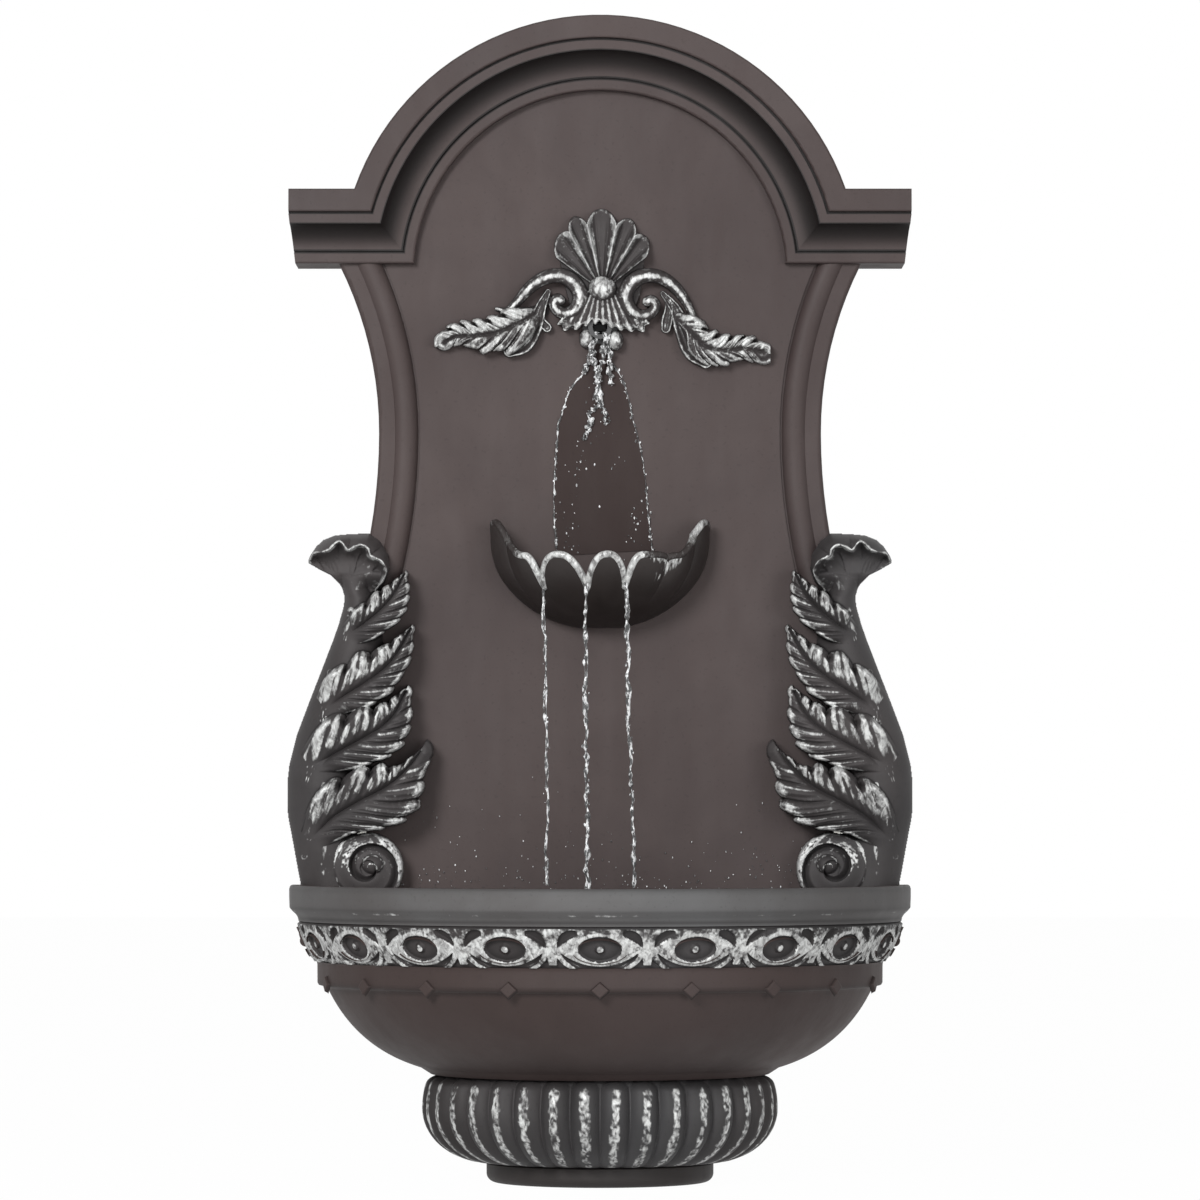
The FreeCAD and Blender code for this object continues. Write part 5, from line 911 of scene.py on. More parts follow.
def leaf_relief(leaf, x, y, seed, ground=0.0, notch=0.20, crown=3.0, finger=2.4, groove=3.8, edge_drop=6.0):
    """Height in mm and paint of one leaf over picture places; height is -1 outside the leaf.

    A lobe's phase runs from 0 to 1 between two notches and s from 0 at the midrib to 1 at the edge.
    """
    rib = smooth_line(leaf["rib"], 33)
    length = np.linalg.norm(np.diff(rib[:, :2], axis=0), axis=1).sum()
    share, distance, side = nearest_on(rib, x, y)
    base = np.interp(share, np.linspace(0, 1, len(rib)), rib[:, 2]) - ORNAMENT_BACK
    height = np.full(x.shape, -1.0)
    paint = np.zeros(x.shape)
    spread = blend_steps(share, 0.0, 0.22) * blend_steps(distance + 400 * share, 0, 6)
    for name, wanted in (("upper", leaf.get("hand", -1)), ("lower", -leaf.get("hand", -1))):
        lean = LEAF_LEAN if name == "upper" else 1.35 * LEAF_LEAN
        vein = share - lean * distance / length
        tips = np.array(leaf[name], float)
        tip_share, reach, _ = nearest_on(rib, tips[:, 0], tips[:, 1])
        tip_vein = np.maximum.accumulate(tip_share - lean * reach / length + np.arange(len(tips)) * 1e-4)
        gap = np.diff(tip_vein).mean()
        knots = np.concatenate([[tip_vein[0] - 0.9 * gap], tip_vein, [tip_vein[-1] + 0.6 * gap]])
        phase = np.interp(vein, knots, np.concatenate([[0.0], np.arange(len(tips)) + 0.5, [len(tips)]]))
        f = phase % 1.0
        near_cut = np.minimum(f, 1 - f)
        scallop = np.abs(np.sin(np.pi * f)) ** 0.55
        width = np.interp(vein, tip_vein, reach)
        width = width * blend_steps(vein, knots[0] - 1.2 * gap, tip_vein[0] - 0.1 * gap)
        bite = notch if name == "upper" else 0.55 * notch
        s = distance / np.maximum(width * (1 - bite * (1 - scallop)), 0.1)
        rise = groove * (1 - np.exp(-distance / 2.4)) + finger * scallop * np.clip(s, 0, 1) ** 0.5
        crease = np.exp(-(near_cut / 0.06) ** 2) * blend_steps(s, 0.15, 0.75)
        flutes = np.cos(f * 6 * math.pi + 3 * s) * blend_steps(s, 0.08, 0.3)
        stroke = speckle(phase * 9.0, s * 2.4, seed)
        broken = 0.30 + 1.1 * (speckle(phase * 23.0, s * 6.0, seed + 7) - 0.25)
        if name == "upper":
            fall = np.clip((s - 0.80) / 0.20, 0, 1)
            pit = np.exp(-(near_cut / 0.15) ** 2 - ((s - 0.84) / 0.11) ** 2)
            shape = base + (rise + crown * s - 0.55 * flutes) * np.sqrt(1 - fall ** 2)
            shape = shape - edge_drop * fall ** 3 - 1.0 * crease - 6.5 * pit
            mark = (0.55 + 0.45 * scallop) * blend_steps(s, 0.06, 0.42)
            mark = mark * (0.20 + 1.15 * stroke) * (0.50 + 0.65 * broken)
            mark = mark - 0.16 * np.clip(flutes, 0, 1) + 0.12 * np.clip(-flutes, 0, 1) - 0.30 * crease
            # Painted shade: the pits between the upper tips are darkened.
            mark = mark - 2.8 * pit - 0.2 * fall ** 2 + 0.30 * np.exp(-((s - 0.80) / 0.07) ** 2) * scallop
        else:
            fall = np.clip((s - 0.88) / 0.12, 0, 1)
            shape = base + rise * (1 - 0.25 * s) + 1.4 * np.sin(np.pi * np.clip(s, 0, 1))
            shape = shape - 3.4 * s ** 2 - edge_drop * fall ** 3 - 1.5 * crease - 0.3 * flutes
            spine = np.exp(-((f - 0.68) / 0.13) ** 2) * blend_steps(s, 0.05, 0.3)
            rim = np.exp(-((s - 0.88) / 0.08) ** 2) * scallop
            mark = 0.42 * spine * (0.1 + 1.2 * stroke) + 0.95 * rim * (0.2 + 0.9 * broken)
            mark = mark + 0.42 * stroke - 0.8 * crease - 0.08
        mark = mark * blend_steps(distance, 1.0, 3.0)
        shape = ground + (shape - ground) * spread
        use = (side == wanted) & (s < 1.0) & (shape > height) & (share > 0.004)
        height = np.where(use, shape, height)
        paint = np.where(use, mark, paint)
    return height, paint


print("leaf ready, lean:", LEAF_LEAN)

# %% [markdown]
# A scroll bracket has a smooth S-shaped back. On its top a scalloped leaf flares out and
# rolls over, with a hollow under its lip that runs down into the neck. A front view fixes
# the outlines of such forms and leaves the depth to judge, so they are drawn as lines of
# picture places, and the depth is taken from the frame's bracket.

# %% Bracket's body and curl
BODY = np.array([  # height in the picture, outer edge, width, how far it stands out in mm
    (570, 341.5, 24, 8), (579, 341.5, 25, 11), (588, 342.5, 26, 13), (597, 345, 30, 15),
    (607, 344, 34, 16), (625, 339, 42, 18), (642, 333, 50, 20), (672, 321.5, 58, 22),
    (703, 309.5, 64, 24), (735, 297.5, 70, 26), (765, 290, 74, 27), (787, 287.5, 74, 27),
    (800, 287.3, 72, 26), (817, 289, 70, 25), (843, 294, 65, 23), (868, 298.5, 63, 21),
    (896, 304, 60, 20)], float)
OUTERMOST = 288.1  # the panel's own edge, which no part of the bracket passes
CURL_LIP = [
    (309, 561, 50), (313.8, 553.8, 58), (322, 552.5, 63), (329, 550, 65), (334, 545, 66), (338.7, 541.7, 66),
    (342, 543.5, 66), (344.5, 547.5, 65), (347.6, 550.6, 64), (352, 548.6, 65), (356, 546.4, 66),
    (360.4, 545.5, 66), (365, 546.6, 66), (367.6, 549.6, 65), (369.3, 555.7, 63), (373, 557.5, 63),
    (377, 559, 63), (381.5, 562, 62), (384.8, 567, 61), (385.9, 572, 60), (384, 577.5, 58),
    (380.8, 582.5, 56), (376.5, 587, 54), (373.1, 591.5, 52)]
CURL_FOOT = [
    (309, 563, 46), (318.3, 568.5, 45), (331, 574.9, 45), (340, 583.8, 46), (344.5, 592, 48),
    (350, 598, 51), (357, 602, 52), (364, 601, 52), (370, 596, 51)]
CURL_BACK = [
    (308.4, 561, 36), (311, 555, 35), (316.5, 547, 35), (323.4, 540.4, 35), (334.9, 535.8, 35),
    (351.5, 534.3, 35), (369.3, 533.8, 35), (379.5, 541, 35), (388, 554, 35), (390, 568.5, 35),
    (386, 581, 35), (380, 590, 36)]


def body_relief(x, y):
    """The smooth S of the bracket: half ovals that start at its outer edge."""
    edge, width, rise = (np.interp(y, BODY[:, 0], BODY[:, column]) for column in (1, 2, 3))
    across = np.clip((x - np.maximum(edge, OUTERMOST)) / width, 0, 1)
    height = rise * np.sin(math.pi * across) ** 0.55 * (1.08 - 0.3 * across)
    use = (across > 0) & (across < 1) & (y > BODY[0, 0] - 1) & (y < BODY[-1, 0])
    return np.where(use, height, -1.0)


def curl_relief(x, y):
    """The flared leaf on top: a smooth roll back from a scalloped lip, and a hollow under it."""
    lip = smooth_line(CURL_LIP, 70)
    share, from_lip, _ = nearest_on(lip, x, y)
    lip_height = np.interp(share, np.linspace(0, 1, 70), lip[:, 2]) - ORNAMENT_BACK
    _, from_back, _ = nearest_on(CURL_BACK, x, y)
    roof_share = from_back / np.maximum(from_back + from_lip, 1e-6)
    roof = lip_height * np.sqrt(1 - (1 - roof_share) ** 2)
    flutes = np.cos(share * 2 * math.pi * 4.5) * np.exp(-from_lip / 14.0)
    deepest = 9.5 + 0.22 * (y - 560)
    hollow = np.maximum(lip_height - 17.0 * (1 - np.exp(-from_lip / 3.2)), deepest) + 1.1 * flutes
    in_hollow = within(list(CURL_LIP) + list(reversed(CURL_FOOT)), x, y)
    in_roof = within(list(CURL_LIP) + list(reversed(CURL_BACK)), x, y) & ~in_hollow
    height = np.where(in_roof, roof, np.where(in_hollow, hollow, -1.0))
    neck = blend_steps(y, 572, 590) * in_hollow
    height = np.where(neck > 0, height * (1 - neck) + np.maximum(body_relief(x, y), 3.0) * neck, height)
    band = np.exp(-((from_lip - 0.8) / 1.7) ** 2) * (1 - neck)
    height = np.where(height > 0, height + 1.0 * band, height)
    worn = 0.45 + 0.8 * (speckle(share * 40, from_lip * 0.5, 11) - 0.3)
    streaks = 0.55 * speckle(share * 34, from_lip * 0.3, 13) * blend_steps(share, 0.45, 0.7)
    inner_paint = 0.3 * np.clip(flutes, 0, 1) + streaks - 0.14
    paint = 0.95 * band * worn * (1 - 0.6 * blend_steps(share, 0.62, 0.75))
    return height, paint + np.where(in_hollow, inner_paint, -0.4 * (1 - band))


print("bracket's body, rows:", len(BODY))

# %% [markdown]
# The volute rests on the basin's rim. A bevelled curve could be wound up for it. Here it is
# a disc with a groove that winds in by twenty two pixels a turn, so a place's distance and
# angle tell how far across a winding it lies, for the height and for the paint alike.

# %% Volute
VOLUTE_MIDDLE, VOLUTE_RADIUS, WINDING = (368.4, 868.0), 39.0, 22.0  # in pixels


def volute_relief(x, y):
    """The volute on its disc: an outer band, a groove and a ridge that winds in to the eye."""
    right, up = x - VOLUTE_MIDDLE[0], VOLUTE_MIDDLE[1] - y
    r = np.hypot(right, up)
    angle = np.arctan2(up, right)
    degrees = np.degrees(angle)
    wound = (40.0 - r) / WINDING - (angle / (2 * math.pi) - 0.5)
    f = wound % 1.0
    outside = VOLUTE_RADIUS - 3.5 * blend_steps(np.cos(angle - 0.7), -0.5, 0.6)
    inner = r < 8.0
    band = blend_steps(f, 0.02, 0.34) * (1 - blend_steps(f, 0.965, 1.0))
    band = band * (0.72 + 0.28 * blend_steps(f, 0.3, 0.9))
    head = np.clip(1 - ((x - 373) / 10.5) ** 2 - ((y - 864) / 9.5) ** 2, 0, 1)
    height = 15.0 + np.where(inner, 3.0, 6.5 * band) + 5.0 * np.sqrt(head) * (right > -9)
    height = np.where(r < outside, height - 4.0 * np.clip((r - outside + 2.5) / 2.5, 0, 1) ** 2, -1.0)
    worn = 0.05 + 1.35 * speckle(angle * 12.0 + 40, r * 0.8, 12)
    right_side = np.exp(-((degrees - 18) / 42) ** 2) * blend_steps(f, 0.38, 0.55) * (r > 24)
    line = np.exp(-((f - 0.93) / 0.045) ** 2) * blend_steps(np.cos(angle - math.radians(100)), -0.55, 0.1)
    left_side = 0.75 * np.exp(-((degrees - 165) / 32) ** 2) * np.exp(-((f - 0.75) / 0.16) ** 2) * (r > 14)
    head_line = np.exp(-((head - 0.16) / 0.14) ** 2) * blend_steps(up + 0.3 * right, -3, 4)
    outer_left = 0.8 * np.exp(-((r - 35.5) / 2.6) ** 2) * blend_steps(-right, 14, 28) * (np.abs(up) < 28)
    left_side = left_side + outer_left
    paint = (1.25 * right_side + 0.95 * line + left_side + 0.85 * head_line) * worn + 0.16 * worn - 0.10
    # Painted shade: the winding groove is darkened along its length.
    paint = paint - 2.0 * np.exp(-(np.minimum(f, 1 - f + 0.02) / 0.06) ** 2) * (r > 9)
    return height, paint


print("volute turns:", VOLUTE_RADIUS / WINDING)

# %% [markdown]
# Four leaves spring from the bracket towards the middle of the fountain, each over the root
# of the next. The left bracket is drawn and the right one mirrors it, as the two castings
# on the real fountain do.

# %% Scroll brackets
LEAVES = [
    dict(rib=[(347, 635, 52), (365, 622.5, 57), (382, 608, 60), (394, 593.5, 61), (404, 574, 55)],
         upper=[(358, 606, 60), (374.5, 591.5, 62), (385.5, 585.5, 62), (395.5, 579, 60), (403, 573, 56)],
         lower=[(380, 636, 46), (399, 622, 45), (407, 610, 45), (409.5, 599, 45), (410, 586, 46),
                (407, 577, 48)]),
    dict(rib=[(325, 710, 54), (345.5, 695, 59), (370, 679.5, 63), (389, 663.5, 63), (401, 646.5, 60),
              (410, 629, 54)],
         upper=[(337, 667, 63), (358, 651.5, 66), (383, 645, 65), (398, 636, 60), (408.5, 628.5, 56)],
         lower=[(372, 706, 47), (392, 693, 47), (403, 676, 46), (411, 661, 46), (414, 646.5, 46),
                (413, 634, 48)]),
    dict(rib=[(311.5, 770, 54), (333.5, 754.5, 60), (358, 741, 65), (380, 728, 65), (395, 713, 62),
              (405, 692, 54)],
         upper=[(333, 714, 64), (362.5, 706.5, 68), (383, 702, 66), (393, 696.5, 62), (404, 689, 56)],
         lower=[(366, 766, 50), (389, 758, 48), (404, 746, 47), (411, 729, 46), (413, 713.5, 46),
                (411, 697.5, 48)]),
    dict(rib=[(310, 841, 53), (333.5, 817, 61), (358, 802, 66), (389, 785, 68), (411, 764, 63),
              (420, 751, 55)],
         upper=[(331, 779, 66), (361, 765.5, 70), (382, 762.5, 69), (397, 766, 66), (410, 757, 60),
                (418.5, 751.5, 57)],
         lower=[(352, 834, 50), (381, 830, 49), (405, 822, 48), (420.5, 807, 47), (425, 787, 46),
                (426.5, 769, 48)]),
]


def bracket_grids(step=0.62):
    x, y = np.meshgrid(np.arange(283, 434, step), np.arange(531, 897, step))
    height = body_relief(x, y)
    paint = np.full(x.shape, -0.25)
    layers = [curl_relief(x, y), volute_relief(x, y)]
    for number, leaf in reversed(list(enumerate(LEAVES, 20))):
        layers.append(leaf_relief(leaf, x, y, number, ground=height))
    for number, leaf in enumerate(LEAVES):
        start, end = np.array(leaf["rib"][0][:2], float), np.array(leaf["upper"][0][:2], float)
        along, off, _ = nearest_on([start - (end - start) * 0.25, end + (-7, 5)], x, y)
        stroke = 1.7 * speckle(off * 0.9 + 30, along * 12.0, 40 + number) - 0.50
        paint = paint + np.exp(-(off / 5.0) ** 2) * stroke
    scratches = np.exp(-((x - 325) / 6.0) ** 2 - ((y - 853) / 24.0) ** 2)
    paint = paint + scratches * (2.2 * speckle(x * 0.5, y * 0.22, 47) - 0.5)
    height, paint = lay_over(height, paint, layers)
    return [flipped(relief_grid(x, y, height, paint)), rear_grid(x, y, height)]


left = bracket_grids()
right = [mirror_grid(grid) for grid in left]
for name, grids in (("left", left), ("right", right)):
    carve("bracket_" + name, grids, carved_finish, replaces=("scroll_bracket_" + name,),
          rounds=12, scale=1.0, paint=0.35)

# %% [markdown]
# The crest over the spout has a fan on top: five hollow lobes between thin ridges that run
# out to the notches, with an edge that curls forward. A pleated apron hangs below it and
# flares round the spout. Both spread from one point, so both are written in the angle round
# that point and the share of the way out to the edge.

# %% Fan and apron
FAN_APEX = (602.5, 291.0)
FAN_NOTCHES = [(556.5, 257), (569, 230.5), (587, 223.5), (616.6, 224.5), (635.6, 234), (646.5, 256)]
FAN_PEAKS = [(554, 240), (576.5, 215), (603, 208), (630, 218), (651, 241)]
APRON_TOP = (602.0, 268.0)
APRON_HEM = [(-39, 70), (-32, 72), (-24, 66), (-17, 60), (-12, 55), (0, 54),
             (11, 60), (18, 64), (26, 69), (34, 75), (41, 71)]  # degrees, and pixels from the top
APRON_LEFT, APRON_RIGHT, APRON_PLEATS = -39, 41, 10


def fan_relief(x, y):
    """Height and paint of the fan: q runs from 0 at its apex to 1 at its edge."""
    notches, peaks = (np.array(points, float) - FAN_APEX for points in (FAN_NOTCHES, FAN_PEAKS))
    knots = np.arctan2(notches[:, 0], -notches[:, 1])
    angle = np.arctan2(x - FAN_APEX[0], FAN_APEX[1] - y)
    r = np.hypot(x - FAN_APEX[0], y - FAN_APEX[1])
    phase = np.interp(angle, knots, np.arange(len(knots)))
    lobe = np.clip(phase.astype(int), 0, len(peaks) - 1)
    f = phase - lobe
    notch_r, peak_r = np.hypot(*notches.T), np.hypot(*peaks.T)
    straight = notch_r[lobe] * (1 - f) + notch_r[lobe + 1] * f
    swell = np.sin(np.pi * np.clip(f, 0, 1)) ** 0.75
    middle = 0.5 * (notch_r[lobe] + notch_r[lobe + 1])
    q = r / (straight + (peak_r[lobe] - middle) * swell)
    near = np.minimum(f, 1 - f)
    thin = np.exp(-(near / 0.085) ** 2)
    grooves = np.exp(-((near - 0.27) / 0.08) ** 2)
    flare = np.clip((q - 0.72) / 0.28, 0, 1) ** 2
    height = 6.0 + 2.5 * q + 3.2 * thin * (0.5 + 0.5 * q) - 3.6 * swell ** 2 * (0.3 + 0.7 * q)
    height = height - 1.5 * grooves + 3.4 * flare
    height = height - 2.5 * np.clip((q - 0.965) / 0.035, 0, 1) ** 2
    worn = 0.35 + 0.95 * speckle(phase * 6.0 + 9, q * 9.0, 31)
    side = blend_steps(phase, 0.1, 0.5) * blend_steps(-phase, -4.9, -4.5)
    lip = np.exp(-((q - 0.96) / 0.034) ** 2) * np.clip(1.35 - near * 4.0, 0.12, 1) * (0.4 + 0.6 * side)
    paint = 0.95 * thin * worn * blend_steps(q, 0.2, 0.4) * (0.35 + 0.65 * side) + 0.95 * lip * worn
    paint = paint + 0.30 * np.exp(-((near - 0.14) / 0.07) ** 2) * worn - 0.12
    use = (q < 1) & (angle > knots[0]) & (angle < knots[-1])
    return np.where(use, height, -1.0), paint


def apron_relief(x, y):
    """A pleated skirt that hangs from the boss and flares round the spout."""
    angle = np.degrees(np.arctan2(x - APRON_TOP[0], y - APRON_TOP[1]))
    r = np.hypot(x - APRON_TOP[0], y - APRON_TOP[1])
    hem = np.array(APRON_HEM, float)
    turn = (angle - APRON_LEFT) / (APRON_RIGHT - APRON_LEFT) * APRON_PLEATS
    ruffle = 1.6 * np.cos(turn * 2 * math.pi)
    edge = np.interp(angle, hem[:, 0], hem[:, 1]) + ruffle
    v = np.clip((r - 29) / (edge - 29), 0, 1)
    pleat = (0.5 + 0.5 * np.cos(turn * 2 * math.pi)) ** 0.8
    front = np.exp(-((x - 602) / 21.0) ** 2)
    height = 5.0 + 3.5 * np.sin(math.pi * 0.5 * v) + 8.0 * front * v ** 0.8
    height = height + 2.4 * pleat * (0.3 + 0.7 * v) - 2.0 * (v > 0.94)
    worn = 0.35 + 1.0 * speckle(turn * 3.0 + 3, v * 6.0, 51)
    paint = (0.95 * pleat ** 3 + 0.5 * np.exp(-((v - 0.9) / 0.07) ** 2)) * worn * (0.45 + 0.55 * front) - 0.08
    use = (r > 26) & (r < edge) & (angle > APRON_LEFT) & (angle < APRON_RIGHT)
    return np.where(use, height, -1.0), paint


print("fan lobes:", len(FAN_PEAKS))

# %% [markdown]
# Two scrolls run from beside the boss out along the tops of the leaf wings. They are round
# bars along a line that winds up at its end. The long root lobes of the wings are hollow
# bars with a rolled rim. The boss and the two beads under the spout are plain domes.

# %% Scrolls, root lobes and beads
SCROLLS = [
    [(496, 308, 1.5), (507, 309.5, 3.0), (517, 301, 4.6), (529, 287.5, 5.8), (544, 277.5, 6.8),
     (561, 275, 7.4), (574.5, 283, 7.6), (580.5, 296, 7.4), (576, 308, 6.8), (566, 313, 6.0),
     (557, 309.5, 5.4), (553.5, 302.5, 5.0), (557.5, 298, 5.0), (560.5, 300, 5.0)],
    [(704, 322, 1.5), (695, 317.5, 3.0), (686, 301, 4.6), (675, 286.5, 5.8), (660, 276.5, 6.8),
     (643, 275.5, 7.4), (630.5, 283.5, 7.6), (625.5, 296, 7.4), (630, 308.5, 6.8), (640, 315, 6.0),
     (651, 312.5, 5.4), (655.5, 305, 5.0), (651.5, 299.5, 5.0), (647.5, 301, 5.0)]]
PADDLES = [  # the long plain root lobe of each wing and the small leaf under each scroll
    [(548, 291, 2.5), (541, 306, 5.5), (534, 326, 8.5), (523, 343, 10.0), (510, 350, 7.0)],
    [(663, 293, 2.5), (675, 308, 5.5), (683, 328, 8.5), (693, 350, 10.0), (706, 361, 7.0)],
    [(549, 298, 2.0), (542, 309, 3.6), (541, 320, 4.4), (547, 327, 4.6)],
    [(668, 296, 2.0), (669, 309, 4.4), (667, 321, 5.6), (666, 328, 4.6)]]


def bar_relief(line, x, y, seed, base, hollow=False):
    """A round bar, or a hollow paddle with a rolled rim, along a line of (x, y, half width)."""
    line = smooth_line(line, 90)
    share, distance, _ = nearest_on(line, x, y)
    half = np.interp(share, np.linspace(0, 1, len(line)), line[:, 2])
    d = distance / half
    size = half / PIXELS_PER_MM
    if hollow:
        fall = np.clip((d - 0.8) / 0.2, 0, 1)
        height = base + 0.32 * size * (1 + 1.4 * d ** 2) * np.sqrt(np.clip(1 - fall ** 2, 0, 1))
        height = height + 0.5 * np.cos(d * 7.5)
        mark = 0.6 * np.exp(-((d - 0.80) / 0.13) ** 2) + 0.5 * np.exp(-((d - 0.25) / 0.12) ** 2)
    else:
        height = base + 1.25 * size * np.sqrt(np.clip(1 - d ** 2, 0, 1))
        mark = 1.25 * np.exp(-(d / 0.40) ** 2) + 0.2 * np.exp(-((d - 0.75) / 0.15) ** 2)
    worn = 0.50 + 0.8 * (speckle(share * 34, d * 2.0 + 5, seed) - 0.3)
    return np.where(d < 1, height, -1.0), mark * worn - 0.12


def dome_relief(x, y, middle, half, base, rise, seed):
    """A boss or a bead."""
    d2 = ((x - middle[0]) / half[0]) ** 2 + ((y - middle[1]) / half[1]) ** 2
    height = base + rise * np.sqrt(np.clip(1 - d2, 0, 1))
    worn = 0.55 + 0.9 * (speckle(x * 0.55, y * 0.22, seed) - 0.3)
    # Painted highlight: the paint is strongest a little above and left of each dome's middle, where the light
    # falls; the speckle over it is dry-brushed silver.
    lit = np.exp(-(((x - middle[0]) / half[0] + 0.05) ** 2 + ((y - middle[1]) / half[1] + 0.15) ** 2) / 0.60)
    return np.where(d2 < 1, height, -1.0), 1.15 * lit * worn - 0.1


print("scrolls:", len(SCROLLS), "root lobes:", len(PADDLES))

# %% [markdown]
# The wings are two more leaves. The right one hangs a little lower than the left one, as it
# does on the real casting, so the crest isn't mirrored. A thin plate behind ties the forms
# together, so that no gap shows between them.

# %% Crest ornament
PLATE = [(558, 252), (574, 262), (603, 262), (630, 262), (645, 252),
         (641, 290), (634, 312), (603, 312), (572, 312), (566, 290)]
DOMES = [  # middle, half sizes, base and rise of the boss and the two beads
    ((602.4, 287.8), (13.8, 12.4), 6.0, 8.0),
    ((587, 338.5), (7.6, 9.6), 5.0, 7.5),
    ((615.5, 340), (7.6, 9.8), 5.0, 7.5)]
LEFT_WING = dict(
    hand=1,
    rib=[(546, 306, 44), (518, 323, 46), (496, 332, 46), (474, 335.5, 45), (456, 336, 43), (444, 342, 40)],
    upper=[(503, 309, 44), (489, 315, 43), (475, 318, 43), (461, 319.5, 42), (449, 324, 41), (440, 332, 40)],
    lower=[(508, 355, 41), (496, 350, 41), (483, 354, 41), (469, 347, 40), (455, 346, 40), (443, 350, 39)])
RIGHT_WING = dict(
    rib=[(665, 312, 44), (688, 328, 46), (704, 345, 46), (724, 350, 45), (746, 348, 43), (764, 352, 40)],
    upper=[(704, 322, 44), (716, 329, 43), (728, 333, 43), (742, 334, 42), (754, 335, 41), (765, 342, 40)],
    lower=[(707, 365, 41), (717, 366, 41), (726, 366, 41), (739, 360, 40), (751, 362, 40), (762, 364, 39)])


def crest_grids(step=0.55):
    x, y = np.meshgrid(np.arange(434, 771, step), np.arange(203, 373, step))
    height = np.where(within(PLATE, x, y), 3.0, -1.0)
    paint = np.full(x.shape, -0.3)
    layers = [fan_relief(x, y), apron_relief(x, y)]
    layers += [leaf_relief(wing, x, y, number, notch=0.26, crown=1.4, finger=1.8, groove=2.2, edge_drop=3.0)
               for number, wing in enumerate((LEFT_WING, RIGHT_WING), 60)]
    layers += [bar_relief(line, x, y, seed, 4.0, True) for seed, line in enumerate(PADDLES, 70)]
    layers += [bar_relief(line, x, y, seed, 7.0) for seed, line in enumerate(SCROLLS, 80)]
    layers += [dome_relief(x, y, *dome, seed) for seed, dome in enumerate(DOMES, 90)]
    height, paint = lay_over(height, paint, layers)
    paint = paint + 0.14 + 0.46 * speckle(x * 0.35, y * 0.35, 99) * speckle(x * 1.1, y * 1.1, 98)
    return [flipped(relief_grid(x, y, height, paint)), rear_grid(x, y, height)]


carve("crest", crest_grids(), carved_finish, replaces=("crest_ornament",), rounds=8, scale=1.0, paint=0.4)

# %% [markdown]
# The scallop bowl is a deep half-round cup with soft flutes. Its rim rises to an ear at
# each side and is cut into rounded crests by three narrow notches, through which the water
# leaves. Both the rim's height and the wall's radius are functions of the angle round the
# bowl, so notches and flutes line up.

# %% Scallop bowl's forms
CUSPS = np.array([-90.0, -60.0, -38.0, -8.0, 16.0, 40.0, 62.0, 90.0])  # degrees
CUSP_DEPTHS = np.array([0.0, 0.12, 1.0, 1.0, 1.0, 0.10, 0.0, 0.0])
RIM_HEIGHT, EAR_RISE, NOTCH_DROP = 421.8, 23.0, 22.0
CUP_FOOT, CUP_HEIGHT, CUP_RADIUS, FLUTE_DEPTH = 373.0, 62.0, 74.0, 2.6


def rim_crest(turn):
    """Which crest of the rim an angle lies on."""
    return np.clip(np.searchsorted(CUSPS, turn, side="right") - 1, 0, len(CUSPS) - 2)


def bowl_rim(turn):
    """Height of the rim at an angle."""
    spot = rim_crest(turn)
    half = 0.5 * (CUSPS[spot + 1] - CUSPS[spot])
    middle = 0.5 * (CUSPS[spot + 1] + CUSPS[spot])
    off = np.abs(turn - middle) / half
    depth = np.where(turn > middle, CUSP_DEPTHS[spot + 1], CUSP_DEPTHS[spot])
    crest = RIM_HEIGHT + EAR_RISE * blend_steps(np.abs(turn), 46, 74)
    crest = crest - 8.0 * blend_steps(np.abs(turn), 76, 90) ** 1.6
    steep = np.where(np.abs(middle) > 25, 5.0, 2.4)
    return crest - NOTCH_DROP * depth * off ** steep


def bowl_wall(turn, z, inset=0.0):
    """Radius of the bowl at a height, with its flutes."""
    spot = rim_crest(turn)
    f = (turn - CUSPS[spot]) / (CUSPS[spot + 1] - CUSPS[spot])
    share = np.clip((z - CUP_FOOT) / CUP_HEIGHT, 0, 1)
    radius = CUP_RADIUS * np.sqrt(1 - (1 - share) ** 2.1) + 1.0
    flute = FLUTE_DEPTH * np.abs(np.sin(np.pi * f)) ** 0.7 * blend_steps(share, 0.1, 0.7)
    return radius - FLUTE_DEPTH + flute - inset


def bowl_place(radius, turn, z):
    """Places on the bowl, which is a little flatter than a true half circle."""
    angle = np.radians(turn)
    ahead = -(ORNAMENT_BACK + radius * np.cos(angle) * 0.96)
    return np.stack(np.broadcast_arrays(radius * np.sin(angle), ahead, z), axis=-1)


turn = np.linspace(-90, 90, 541)
rim = bowl_rim(turn)
print("rim from %.1f to %.1f mm high" % (rim.min(), rim.max()))

# %% [markdown]
# The bowl is four grids: the outside, the inside a wall's thickness within it, the bottom,
# and a thick rounded lip along the rim. The lip is worn bright over the notches. On the
# right the paint spills over the lip and down a flute.

# %% Scallop bowl
BOWL_FOOT, FLOOR_INSIDE = 374.5, 384.0

v = np.linspace(0, 1, 44)[None, :]
angles = turn[:, None]
z = BOWL_FOOT + (rim[:, None] - BOWL_FOOT) * v
outside = bowl_place(bowl_wall(angles, z), angles, z)
z_in = FLOOR_INSIDE + (rim[:, None] - FLOOR_INSIDE) * v
inside = bowl_place(np.maximum(bowl_wall(angles, z_in - 5.0, 4.6), 1.0), angles, z_in)
bottom = bowl_place(bowl_wall(angles, z[:, :1]) * np.linspace(0, 1, 5)[None, :], angles, z[:, :1])
lip_line = bowl_place(bowl_wall(turn, rim) - 2.0, turn, rim - 0.4)
lip = tube(lip_line, 2.5, 12)
lip_worn = 0.62 + 0.7 * (speckle(angles * 1.6, np.arange(13)[None, :] * 0.7, 95) - 0.35)
lip_worn = lip_worn * (0.25 + 0.75 * blend_steps(-np.abs(angles + 12), -42, -32))
lip_worn = lip_worn + 0.45 * np.exp(-((angles - 66) / 9) ** 2)
